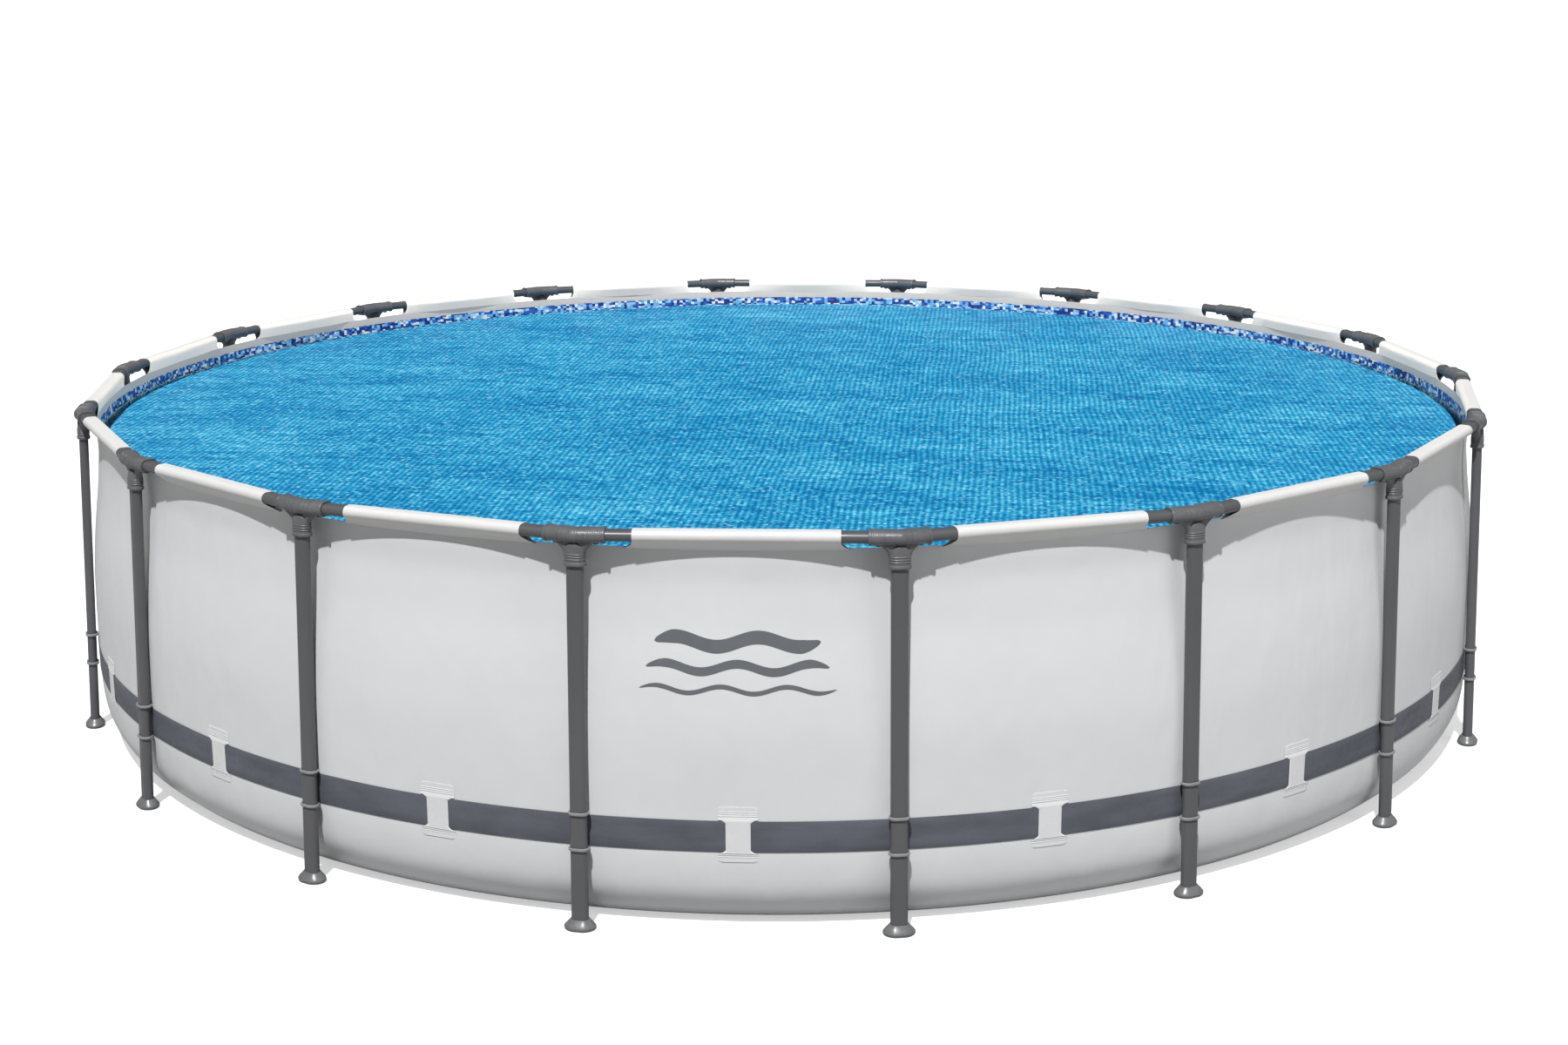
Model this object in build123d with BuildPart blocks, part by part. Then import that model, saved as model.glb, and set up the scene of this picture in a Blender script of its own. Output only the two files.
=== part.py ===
from build123d import *
import math
import os

# Round steel-framed above-ground pool with a floating solar cover.
# Millimetres, +Z up, origin on the ground at the middle of the basin.
# Leg 1 stands at +X and the others follow anticlockwise.

# ---------------------------------------------------------------- driving dimensions
bays = 18
rail_axis_radius = 2700.0  # to the corner of two rail axes, at a leg
rail_axis_height = 1205.0
foot_axis_radius = rail_axis_radius + 45.0  # the legs splay outwards towards the ground

# flat oval tube, used for legs and rails
tube_width = 53.0
tube_depth = 33.0
tube_wall = 1.5
socket_clearance = 0.3  # all round, tube in socket

# T connector, measured from the corner of its rail axes
connector_wall = 4.7
connector_arm = 90.0
connector_stop = 8.0
arm_collar_length = 12.0
arm_collar_rise = 2.5
arm_rib_width = 3.0
arm_rib_rise = 1.2
arm_rib_places = (14.0, 28.0, 42.0)
neck_top = 16.0
neck_top_width = 100.0
neck_top_depth = 40.0
neck_shoulder = 58.0
neck_mouth = 91.0
neck_rim_length = 8.0
neck_rim_rise = 2.0
leg_socket_top = 45.0
leg_top = 47.0
rail_start = 10.0

# push pins under the arms
pin_place = 62.0
pin_radius = 4.0
pin_head_radius = 8.0
pin_head_height = 4.0
pin_reach = 15.0
pin_clearance = 0.2
gasket_radius = 8.5
gasket_height = 1.5

# foot caps
foot_rim_height = 7.0
foot_shoulder_height = 18.0
foot_height = 30.0
foot_floor = 8.0
foot_neck_wall = 6.0
foot_flare_width = 17.0
foot_flare_depth = 15.0
foot_shoulder_inset = 4.0
leg_end_clearance = 1.0

# liner: wall, floor and the sleeves that hang it from the rails
liner_skin = 2.4
soft_gap = 0.3  # between a skin and what lies against it
sleeve_gap = 0.6
slot_half_length = 168.0  # bare rail each side of a corner
wall_top_height = rail_axis_height - 40.0
wall_top_radius = rail_axis_radius - 45.5
wall_knee_radius = rail_axis_radius - 48.0
wall_knee_height = rail_axis_height - 155.0
belly_radius = rail_axis_radius + 5.8
belly_height = 600.0
knee_bend = 300.0
belly_bend = 2500.0
ground_bend = 100.0
ground_lap = 130.0  # from the belly in to the floor's weld
panel_gap = 0.3  # between wall panels at the belly, where a weld joins them

# restraint band, its welded loops and the hoops on the legs
band_low = 252.0
band_high = 350.0
band_thickness = 2.4
loop_margin_low = 31.0
loop_margin_high = 44.0
loop_end_width = 119.0
loop_waist_width = 74.0
loop_weld_height = 21.0
loop_skin = 2.0
loop_corner = 8.0
hoop_heights = (252.0, 363.0)
hoop_wall = 5.0
hoop_height = 9.0
hoop_rounding = 1.5

# floating cover
cover_radius = rail_axis_radius - 80.0
cover_thickness = 4.5
water_level = wall_top_height - 69.0

# hose fittings through the wall, each in the middle of a bay
suction_azimuth = 50.0
suction_height = 800.0
return_azimuth = 70.0
return_height = 930.0
fitting_bore = 16.0
hose_tail_radius = 19.0
hose_tail_length = 34.0
fitting_thread_radius = 25.0
fitting_thread_length = 24.0
fitting_flange_radius = 40.0
fitting_flange_thickness = 4.0
fitting_gasket_radius = 36.0
fitting_gasket_thickness = 3.0
wall_hole_clearance = 1.0
wall_face_gap = 0.6
nut_radius = 37.0
nut_thickness = 12.0
nut_grips = 10
nut_grip_radius = 4.0
thread_clearance = 0.25
strainer_height = 16.0
strainer_wall = 3.0
strainer_slot_width = 4.0
strainer_slots = 6
nozzle_ring_radius = 30.0
nozzle_ring_height = 10.0
nozzle_barrel_radius = 14.6
nozzle_base_rise = 2.4
nozzle_base_height = 2.6
nozzle_clearance = 0.05
nozzle_end_gap = 0.3
nozzle_tip_radius = 9.5
nozzle_tip_bore = 7.0
nozzle_tip_length = 27.0
nozzle_tip_tilt = 30.0

# drain valve, low on the wall in the middle of a bay
drain_azimuth = 130.0
drain_height = 160.0
drain_bore = 17.0
drain_spout_radius = 21.0
drain_flange_radius = 38.0
drain_flange_thickness = 3.0
drain_spout_length = 26.0
cap_clearance = 0.5
cap_wall = 2.5
cap_end = 3.0
cap_skirt = 5.0
cap_end_gap = 0.3
hinge_beyond_cap = 8.0
knuckle_radius = 3.0
hinge_pin_radius = 1.4
hinge_pin_clearance = 0.05
hinge_lug_width = 10.0
hinge_ear_width = 5.0
knuckle_gap = 0.4
plug_clearance = 0.3
plug_length = 14.0
plug_head_radius = 24.0
plug_head_height = 4.0
plug_grip_length = 30.0
plug_grip_width = 5.0
plug_grip_height = 9.0

# ---------------------------------------------------------------- derived places
bay_angle = 360.0 / bays
half_bay = bay_angle / 2
bay_chord = 2 * rail_axis_radius * math.sin(math.radians(half_bay))
mid_bay_radius = rail_axis_radius * math.cos(math.radians(half_bay))
splay = math.atan((foot_axis_radius - rail_axis_radius) / rail_axis_height)
leg_axis_length = math.hypot(foot_axis_radius - rail_axis_radius, rail_axis_height)
arm_heading = math.radians(90 + half_bay)

corner = (rail_axis_radius, 0, rail_axis_height)
leg_plane = Plane(origin=corner, x_dir=(0, 1, 0), z_dir=(-math.sin(splay), 0, math.cos(splay)))
arm_plane = Plane(
    origin=corner,
    x_dir=(math.sin(arm_heading), -math.cos(arm_heading), 0),
    z_dir=(math.cos(arm_heading), math.sin(arm_heading), 0),
)
rail_plane = Plane(origin=(mid_bay_radius, 0, rail_axis_height), x_dir=(1, 0, 0), z_dir=(0, 1, 0))
all_corners = PolarLocations(0, bays)
mid_bays = PolarLocations(0, bays, start_angle=half_bay)

socket_width = tube_width + 2 * socket_clearance
socket_depth = tube_depth + 2 * socket_clearance
barrel_width = socket_width + 2 * connector_wall
barrel_height = socket_depth + 2 * connector_wall

os.makedirs("parts", exist_ok=True)


def write(part, name):
    """Label one node and write its STEP file."""
    part.label = name
    export_step(part, f"parts/{name}.step")


def write_each(part, stem):
    """Write one node for every corner of the frame, turned into its place."""
    for place in range(bays):
        write(Rot(0, 0, place * bay_angle) * part, f"{stem}_{place + 1:02d}")


# ---------------------------------------------------------------- steel frame
leg_bottom = leg_axis_length - foot_floor - leg_end_clearance

with BuildPart() as leg:
    with BuildSketch(leg_plane.offset(-leg_bottom)):
        SlotOverall(tube_width, tube_depth)
        SlotOverall(tube_width - 2 * tube_wall, tube_depth - 2 * tube_wall, mode=Mode.SUBTRACT)
    extrude(amount=leg_bottom - leg_top)
write_each(leg.part, "leg")

rail_half = bay_chord / 2 - rail_start
pin_along_rail = bay_chord / 2 - pin_place

with BuildPart() as rail:
    with BuildSketch(rail_plane.offset(-rail_half)):
        SlotOverall(tube_width, tube_depth)
        SlotOverall(tube_width - 2 * tube_wall, tube_depth - 2 * tube_wall, mode=Mode.SUBTRACT)
    extrude(amount=2 * rail_half)
    with BuildSketch(Plane.XY.offset(rail_axis_height - tube_depth)):
        with Locations((mid_bay_radius, pin_along_rail), (mid_bay_radius, -pin_along_rail)):
            Circle(pin_radius + pin_clearance)
    extrude(amount=tube_depth, mode=Mode.SUBTRACT)
with BuildPart() as top_rails:
    with mid_bays:
        add(rail.part)
write(top_rails.part, "top_rails")

# T connector: two mitred arms and a flared neck, one moulding
pin_foot = barrel_height / 2 + gasket_height
pin_plane = Plane(
    origin=arm_plane.offset(pin_place).origin - Vector(0, 0, pin_foot),
    z_dir=(0, 0, 1),
)

with BuildPart() as connector:
    with BuildSketch(arm_plane.offset(-barrel_width / 4)):
        SlotOverall(barrel_width, barrel_height)
    extrude(amount=connector_arm + barrel_width / 4)
    with BuildSketch(arm_plane.offset(connector_arm - arm_collar_length)):
        SlotOverall(barrel_width + 2 * arm_collar_rise, barrel_height + 2 * arm_collar_rise)
    extrude(amount=arm_collar_length)
    for place in arm_rib_places:
        with BuildSketch(arm_plane.offset(place)):
            SlotOverall(barrel_width + 2 * arm_rib_rise, barrel_height + 2 * arm_rib_rise)
        extrude(amount=arm_rib_width)
    split(bisect_by=Plane.XZ, keep=Keep.BOTTOM)
    mirror(about=Plane.XZ)
    with BuildSketch(leg_plane.offset(-neck_top)):
        SlotOverall(neck_top_width, neck_top_depth)
    with BuildSketch(leg_plane.offset(-neck_shoulder)):
        SlotOverall(barrel_width, barrel_height)
    loft()
    with BuildSketch(leg_plane.offset(-neck_mouth)):
        SlotOverall(barrel_width, barrel_height)
    extrude(amount=neck_mouth - neck_shoulder)
    with BuildSketch(leg_plane.offset(-neck_mouth)):
        SlotOverall(barrel_width + 2 * neck_rim_rise, barrel_height + 2 * neck_rim_rise)
    extrude(amount=neck_rim_length)
    with BuildSketch(leg_plane.offset(-neck_mouth)):
        SlotOverall(socket_width, socket_depth)
    extrude(amount=neck_mouth - leg_socket_top, mode=Mode.SUBTRACT)
    with BuildSketch(arm_plane.offset(connector_stop)):
        SlotOverall(socket_width, socket_depth)
    extrude(amount=connector_arm, mode=Mode.SUBTRACT)
    with BuildSketch(pin_plane):
        Circle(pin_radius + pin_clearance)
    extrude(amount=pin_foot, mode=Mode.SUBTRACT)
    split(bisect_by=Plane.XZ, keep=Keep.BOTTOM)
    mirror(about=Plane.XZ)
write_each(connector.part, "connector")

with BuildPart() as pin:
    with BuildSketch(pin_plane):
        Circle(pin_radius)
    extrude(amount=gasket_height + pin_reach)
    with BuildSketch(pin_plane.offset(-pin_head_height)):
        Circle(pin_head_radius)
    extrude(amount=pin_head_height)
    mirror(about=Plane.XZ)
with BuildPart() as connector_pins:
    with all_corners:
        add(pin.part)
write(connector_pins.part, "connector_pins")

with BuildPart() as gasket:
    with BuildSketch(pin_plane):
        Circle(gasket_radius)
        Circle(pin_radius + pin_clearance, mode=Mode.SUBTRACT)
    extrude(amount=gasket_height)
    mirror(about=Plane.XZ)
with BuildPart() as pin_gaskets:
    with all_corners:
        add(gasket.part)
write(pin_gaskets.part, "pin_gaskets")

# foot caps: an oval rim, a domed top and a socket for the end of the leg
foot_plane = Plane(origin=(foot_axis_radius, 0, 0), x_dir=(0, 1, 0), z_dir=(0, 0, 1))
foot_top_half_width = socket_width / 2 + foot_neck_wall
foot_top_half_depth = socket_depth / 2 + foot_neck_wall
foot_half_width = foot_top_half_width + foot_flare_width
foot_half_depth = foot_top_half_depth + foot_flare_depth

with BuildPart() as foot_cap:
    with BuildSketch(foot_plane):
        Ellipse(foot_half_width, foot_half_depth)
    extrude(amount=foot_rim_height)
    with BuildSketch(foot_plane.offset(foot_rim_height)):
        Ellipse(foot_half_width, foot_half_depth)
    with BuildSketch(foot_plane.offset(foot_shoulder_height)):
        Ellipse(foot_half_width - foot_shoulder_inset, foot_half_depth - foot_shoulder_inset)
    with BuildSketch(foot_plane.offset(foot_height)):
        Ellipse(foot_top_half_width, foot_top_half_depth)
    loft()
    with BuildSketch(leg_plane.offset(foot_floor - leg_axis_length)):
        SlotOverall(socket_width, socket_depth)
    extrude(amount=foot_height, mode=Mode.SUBTRACT)
with BuildPart() as foot_caps:
    with all_corners:
        add(foot_cap.part)
write(foot_caps.part, "foot_caps")

# ---------------------------------------------------------------- liner
skin_half = liner_skin / 2
slope = math.atan((belly_radius - wall_knee_radius) / (wall_knee_height - belly_height))
floor_radius = belly_radius - ground_lap
panel_angle = bay_angle - math.degrees(panel_gap / belly_radius)


def fitting_plane(azimuth, height):
    """Plane on the middle of the wall's sloping stretch, facing outwards."""
    radius = wall_knee_radius + (wall_knee_height - height) * math.tan(slope)
    upright = Plane(origin=(radius, 0, height), x_dir=(0, 1, 0), z_dir=(math.cos(slope), 0, math.sin(slope)))
    return Plane(Rot(0, 0, azimuth) * upright.location)


suction_plane = fitting_plane(suction_azimuth, suction_height)
return_plane = fitting_plane(return_azimuth, return_height)
drain_front = Plane(origin=(belly_radius, 0, drain_height), x_dir=(0, 1, 0), z_dir=(1, 0, 0))
drain_plane = Plane(Rot(0, 0, drain_azimuth) * drain_front.location)
wall_holes = (
    (suction_plane, fitting_thread_radius),
    (return_plane, fitting_thread_radius),
    (drain_plane, drain_spout_radius),
)

with BuildPart() as wall_panel:
    with BuildSketch(Plane.XZ):
        with BuildLine():
            FilletPolyline(
                (wall_top_radius, wall_top_height),
                (wall_knee_radius, wall_knee_height),
                (belly_radius, belly_height),
                (belly_radius, skin_half),
                (floor_radius, skin_half),
                radius=[knee_bend, belly_bend, ground_bend],
            )
        trace(line_width=liner_skin)
    revolve(axis=Axis.Z, revolution_arc=panel_angle)
with BuildPart() as liner_wall:
    with all_corners:
        add(wall_panel.part)
    for hole_plane, thread_radius in wall_holes:
        with BuildSketch(hole_plane.offset(-5 * liner_skin)):
            Circle(thread_radius + wall_hole_clearance)
        extrude(amount=10 * liner_skin, mode=Mode.SUBTRACT)
write(liner_wall.part, "liner_wall")

with BuildPart() as liner_floor:
    with BuildSketch():
        Circle(floor_radius)
    extrude(amount=liner_skin)
write(liner_floor.part, "liner_floor")

# sleeves: the wall's top hem, folded over each rail, and the doubled skin under it
# that runs from the straight rail down to the round wall
sleeve_width = tube_width + 2 * sleeve_gap
sleeve_depth = tube_depth + 2 * sleeve_gap
sleeve_length = bay_chord - 2 * slot_half_length
web_top = rail_axis_height - sleeve_depth / 2 - liner_skin - soft_gap
web_half_angle = math.degrees(math.asin(sleeve_length / 2 / wall_top_radius))

with BuildPart() as sleeve:
    with BuildSketch(Plane.XY.offset(wall_top_height + soft_gap)):
        with BuildLine():
            near = CenterArc((0, 0), wall_top_radius - liner_skin, -web_half_angle, 2 * web_half_angle)
            far = CenterArc((0, 0), wall_top_radius + liner_skin, web_half_angle, -2 * web_half_angle)
            Line(near @ 1, far @ 0)
            Line(far @ 1, near @ 0)
        make_face()
    with BuildSketch(Plane.XY.offset(web_top)):
        with Locations((mid_bay_radius, 0)):
            Rectangle(2 * liner_skin, sleeve_length)
    loft()
    with BuildSketch(rail_plane.offset(-sleeve_length / 2)):
        SlotOverall(sleeve_width + 2 * liner_skin, sleeve_depth + 2 * liner_skin)
        SlotOverall(sleeve_width, sleeve_depth, mode=Mode.SUBTRACT)
    extrude(amount=sleeve_length)
with BuildPart() as rail_sleeves:
    with mid_bays:
        add(sleeve.part)
write(rail_sleeves.part, "rail_sleeves")

# ---------------------------------------------------------------- restraint band
wall_outer = belly_radius + skin_half
band_inner = wall_outer + soft_gap
band_outer = band_inner + band_thickness
loop_inner = band_outer + soft_gap
loop_outer = loop_inner + loop_skin
loop_low = band_low - loop_margin_low
loop_height = band_high + loop_margin_high - loop_low
weld_place = (loop_height - loop_weld_height) / 2

with BuildPart() as restraint_band:
    with BuildSketch(Plane.XY.offset(band_low)):
        Circle(band_outer)
        Circle(band_inner, mode=Mode.SUBTRACT)
    extrude(amount=band_high - band_low)
write(restraint_band.part, "restraint_band")

loop_plane = Plane(
    origin=(belly_radius - loop_end_width, 0, loop_low + loop_height / 2),
    x_dir=(0, 1, 0),
    z_dir=(1, 0, 0),
)
with BuildPart() as band_loop:
    with BuildSketch(loop_plane) as loop_outline:
        Rectangle(loop_waist_width, loop_height)
        with Locations((0, weld_place), (0, -weld_place)):
            Rectangle(loop_end_width, loop_weld_height)
        fillet(loop_outline.vertices(), loop_corner)
    extrude(amount=2 * loop_end_width)
    with BuildSketch(Plane.XY.offset(loop_low)):
        Circle(loop_outer)
        Circle(band_inner, mode=Mode.SUBTRACT)
    extrude(amount=loop_height, mode=Mode.INTERSECT)
    with BuildSketch(Plane.XY.offset(band_low - soft_gap)):
        Circle(loop_inner)
    extrude(amount=band_high - band_low + 2 * soft_gap, mode=Mode.SUBTRACT)
with BuildPart() as band_loops:
    with mid_bays:
        add(band_loop.part)
write(band_loops.part, "band_loops")

with BuildPart() as leg_hoop:
    for height in hoop_heights:
        with BuildSketch(leg_plane.offset(height - leg_axis_length - hoop_height / 2)):
            SlotOverall(socket_width + 2 * hoop_wall, socket_depth + 2 * hoop_wall)
            SlotOverall(socket_width, socket_depth, mode=Mode.SUBTRACT)
        extrude(amount=hoop_height)
    fillet(leg_hoop.edges(), hoop_rounding)
with BuildPart() as leg_hoops:
    with all_corners:
        add(leg_hoop.part)
write(leg_hoops.part, "leg_hoops")

# ---------------------------------------------------------------- floating cover
with BuildPart() as solar_cover:
    with BuildSketch(Plane.XY.offset(water_level)):
        Circle(cover_radius)
    extrude(amount=cover_thickness)
write(solar_cover.part, "solar_cover")

# ---------------------------------------------------------------- hose fittings
wall_face = skin_half + wall_face_gap
flange_face = wall_face + fitting_gasket_thickness
thread_top = flange_face + fitting_thread_length
basin_face = flange_face + fitting_flange_thickness


def hose_body(plane):
    """Flange in the basin, thread through the wall and hose tail outside, one moulding."""
    with BuildPart() as body:
        with BuildSketch(plane.offset(-basin_face)):
            Circle(fitting_flange_radius)
        extrude(amount=fitting_flange_thickness)
        with BuildSketch(plane.offset(-flange_face)):
            Circle(fitting_thread_radius)
        extrude(amount=flange_face + thread_top)
        with BuildSketch(plane.offset(thread_top)):
            Circle(hose_tail_radius)
        extrude(amount=hose_tail_length)
        with BuildSketch(plane.offset(-basin_face)):
            Circle(fitting_bore)
        extrude(amount=basin_face + thread_top + hose_tail_length, mode=Mode.SUBTRACT)
    return body.part


def wall_gaskets(plane):
    """Flat rubber rings on both faces of the wall."""
    with BuildPart() as rings:
        for start in (-flange_face, wall_face):
            with BuildSketch(plane.offset(start)):
                Circle(fitting_gasket_radius)
                Circle(fitting_thread_radius + thread_clearance, mode=Mode.SUBTRACT)
            extrude(amount=fitting_gasket_thickness)
    return rings.part


def wall_nut(plane):
    """Hand nut with finger grips, outside the wall."""
    with BuildPart() as nut:
        with BuildSketch(plane.offset(flange_face)):
            Circle(nut_radius)
            with PolarLocations(nut_radius + nut_grip_radius / 2, nut_grips):
                Circle(nut_grip_radius, mode=Mode.SUBTRACT)
            Circle(fitting_thread_radius + thread_clearance, mode=Mode.SUBTRACT)
        extrude(amount=nut_thickness)
    return nut.part


for fitting, plane in (("suction", suction_plane), ("return", return_plane)):
    write(hose_body(plane), f"{fitting}_body")
    write(wall_gaskets(plane), f"{fitting}_gaskets")
    write(wall_nut(plane), f"{fitting}_nut")

strainer_plane = suction_plane.offset(-basin_face - strainer_height)
with BuildPart() as suction_strainer:
    with BuildSketch(strainer_plane):
        Circle(fitting_flange_radius)
    extrude(amount=strainer_height)
    with BuildSketch(strainer_plane.offset(strainer_wall)):
        Circle(fitting_flange_radius - strainer_wall)
    extrude(amount=strainer_height, mode=Mode.SUBTRACT)
    with BuildSketch(strainer_plane):
        with GridLocations(2 * strainer_slot_width, 0, strainer_slots, 1):
            SlotOverall(fitting_flange_radius, strainer_slot_width, rotation=90)
    extrude(amount=strainer_wall, mode=Mode.SUBTRACT)
write(suction_strainer.part, "suction_strainer")

# return nozzle: a flanged barrel that turns in a fixed ring, with a tilted jet
nozzle_base_radius = nozzle_barrel_radius + nozzle_base_rise
ring_plane = return_plane.offset(-basin_face - nozzle_ring_height)
base_seat = nozzle_base_height + 2 * nozzle_end_gap
with BuildPart() as nozzle_ring:
    with BuildSketch(ring_plane):
        Circle(nozzle_ring_radius)
        Circle(nozzle_barrel_radius + nozzle_clearance, mode=Mode.SUBTRACT)
    extrude(amount=nozzle_ring_height)
    with BuildSketch(return_plane.offset(-basin_face)):
        Circle(nozzle_base_radius + nozzle_clearance)
    extrude(amount=-base_seat, mode=Mode.SUBTRACT)
write(nozzle_ring.part, "nozzle_ring")

base_plane = return_plane.offset(-basin_face - nozzle_end_gap)
jet_plane = Plane(
    origin=ring_plane.offset(nozzle_ring_height / 2).origin,
    x_dir=return_plane.x_dir,
    z_dir=return_plane.z_dir.rotate(Axis(ring_plane.origin, return_plane.x_dir), 180 - nozzle_tip_tilt),
)
with BuildPart() as return_nozzle:
    with BuildSketch(base_plane):
        Circle(nozzle_base_radius)
    extrude(amount=-nozzle_base_height)
    with BuildSketch(base_plane):
        Circle(nozzle_barrel_radius)
    extrude(amount=nozzle_end_gap - nozzle_ring_height)
    with BuildSketch(jet_plane):
        Circle(nozzle_tip_radius)
    extrude(amount=nozzle_tip_length)
    with BuildSketch(jet_plane.offset(-nozzle_ring_height)):
        Circle(nozzle_tip_bore)
    extrude(amount=nozzle_ring_height + nozzle_tip_length, mode=Mode.SUBTRACT)
write(return_nozzle.part, "return_nozzle")

# ---------------------------------------------------------------- drain valve
spout_end = wall_face + drain_flange_thickness + drain_spout_length
cap_inner_radius = drain_spout_radius + cap_clearance
cap_outer_radius = cap_inner_radius + cap_wall
hinge_rise = cap_outer_radius + hinge_beyond_cap
hinge_out = spout_end - cap_skirt
hinge_centre = drain_plane.offset(hinge_out).origin + Vector(0, 0, hinge_rise)
hinge_plane = Plane(origin=hinge_centre, x_dir=(0, 0, 1), z_dir=drain_plane.x_dir)
ear_start = hinge_lug_width / 2 + knuckle_gap
hinge_half = ear_start + hinge_ear_width
lug_low = cap_outer_radius - cap_wall / 2

with BuildPart() as drain_body:
    with BuildSketch(drain_plane.offset(wall_face)):
        Circle(drain_flange_radius)
    extrude(amount=drain_flange_thickness)
    with BuildSketch(drain_plane.offset(-wall_face)):
        Circle(drain_spout_radius)
    extrude(amount=wall_face + spout_end)
    with BuildSketch(drain_plane.offset(wall_face)):
        for side in (-1, 1):
            with Locations((side * (ear_start + hinge_half) / 2, hinge_rise)):
                Rectangle(hinge_ear_width, 2 * knuckle_radius)
    extrude(amount=hinge_out - wall_face)
    for start in (-hinge_half, ear_start):
        with BuildSketch(hinge_plane.offset(start)):
            Circle(knuckle_radius)
        extrude(amount=hinge_ear_width)
    with BuildSketch(hinge_plane.offset(-hinge_half)):
        Circle(hinge_pin_radius + hinge_pin_clearance)
    extrude(amount=2 * hinge_half, mode=Mode.SUBTRACT)
    with BuildSketch(drain_plane.offset(-wall_face)):
        Circle(drain_bore)
    extrude(amount=wall_face + spout_end, mode=Mode.SUBTRACT)
write(drain_body.part, "drain_body")

with BuildPart() as drain_cap:
    with BuildSketch(drain_plane.offset(hinge_out)):
        Circle(cap_outer_radius)
    extrude(amount=cap_skirt + cap_end_gap + cap_end)
    with BuildSketch(drain_plane.offset(hinge_out)):
        with Locations((0, (lug_low + hinge_rise) / 2)):
            Rectangle(hinge_lug_width, hinge_rise - lug_low)
    extrude(amount=knuckle_radius)
    with BuildSketch(hinge_plane.offset(-hinge_lug_width / 2)):
        Circle(knuckle_radius)
    extrude(amount=hinge_lug_width)
    with BuildSketch(drain_plane.offset(hinge_out)):
        Circle(cap_inner_radius)
    extrude(amount=cap_skirt + cap_end_gap, mode=Mode.SUBTRACT)
    with BuildSketch(hinge_plane.offset(-hinge_lug_width / 2)):
        Circle(hinge_pin_radius + hinge_pin_clearance)
    extrude(amount=hinge_lug_width, mode=Mode.SUBTRACT)
write(drain_cap.part, "drain_cap")

with BuildPart() as drain_hinge_pin:
    with BuildSketch(hinge_plane.offset(-hinge_half)):
        Circle(hinge_pin_radius)
    extrude(amount=2 * hinge_half)
write(drain_hinge_pin.part, "drain_hinge_pin")

plug_seat = drain_plane.offset(-wall_face - cap_end_gap)
with BuildPart() as drain_plug:
    with BuildSketch(plug_seat):
        Circle(plug_head_radius)
    extrude(amount=-plug_head_height)
    with BuildSketch(plug_seat):
        Circle(drain_bore - plug_clearance)
    extrude(amount=plug_length)
    with BuildSketch(plug_seat.offset(-plug_head_height)):
        Rectangle(plug_grip_length, plug_grip_width)
    extrude(amount=-plug_grip_height)
write(drain_plug.part, "drain_plug")
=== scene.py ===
"""Round steel-framed pool with a floating bubble cover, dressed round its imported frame.

Lengths are in metres, in the frame's own coordinates: Z up, the origin on the ground at the
middle of the basin, leg 1 at +X and the others anticlockwise.
"""

import logging
import math
from collections.abc import Callable, Iterable, Sequence
from dataclasses import dataclass, field
from enum import Enum

import bmesh
import bpy
import numpy as np
from mathutils import Matrix, Vector, noise


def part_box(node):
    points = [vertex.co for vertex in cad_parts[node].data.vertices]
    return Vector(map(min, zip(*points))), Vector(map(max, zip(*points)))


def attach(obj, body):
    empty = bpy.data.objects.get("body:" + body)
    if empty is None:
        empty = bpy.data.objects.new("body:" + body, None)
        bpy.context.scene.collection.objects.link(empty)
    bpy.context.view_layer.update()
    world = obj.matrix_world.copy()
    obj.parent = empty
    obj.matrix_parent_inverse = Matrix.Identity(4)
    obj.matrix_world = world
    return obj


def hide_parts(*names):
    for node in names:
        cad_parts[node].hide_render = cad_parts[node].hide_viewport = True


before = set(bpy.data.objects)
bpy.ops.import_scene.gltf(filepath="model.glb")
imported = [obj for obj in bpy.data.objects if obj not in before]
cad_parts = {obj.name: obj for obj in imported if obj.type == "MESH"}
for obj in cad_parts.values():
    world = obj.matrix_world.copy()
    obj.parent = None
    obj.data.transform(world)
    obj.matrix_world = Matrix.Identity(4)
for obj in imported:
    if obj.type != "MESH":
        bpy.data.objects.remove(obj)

log = logging.getLogger("pool")
Colour = tuple[float, float, float]
Socket = bpy.types.NodeSocket
TURN = 2 * math.pi
FOOT_HALF_DEPTH = 0.0378
HOOP_HALF_HEIGHT = 0.0052
HEM_DROP = 0.032
BORDER_DROP = 0.068
GIRTH_RADIUS = 2.69
SHEET_CREASE = 40.0


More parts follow.
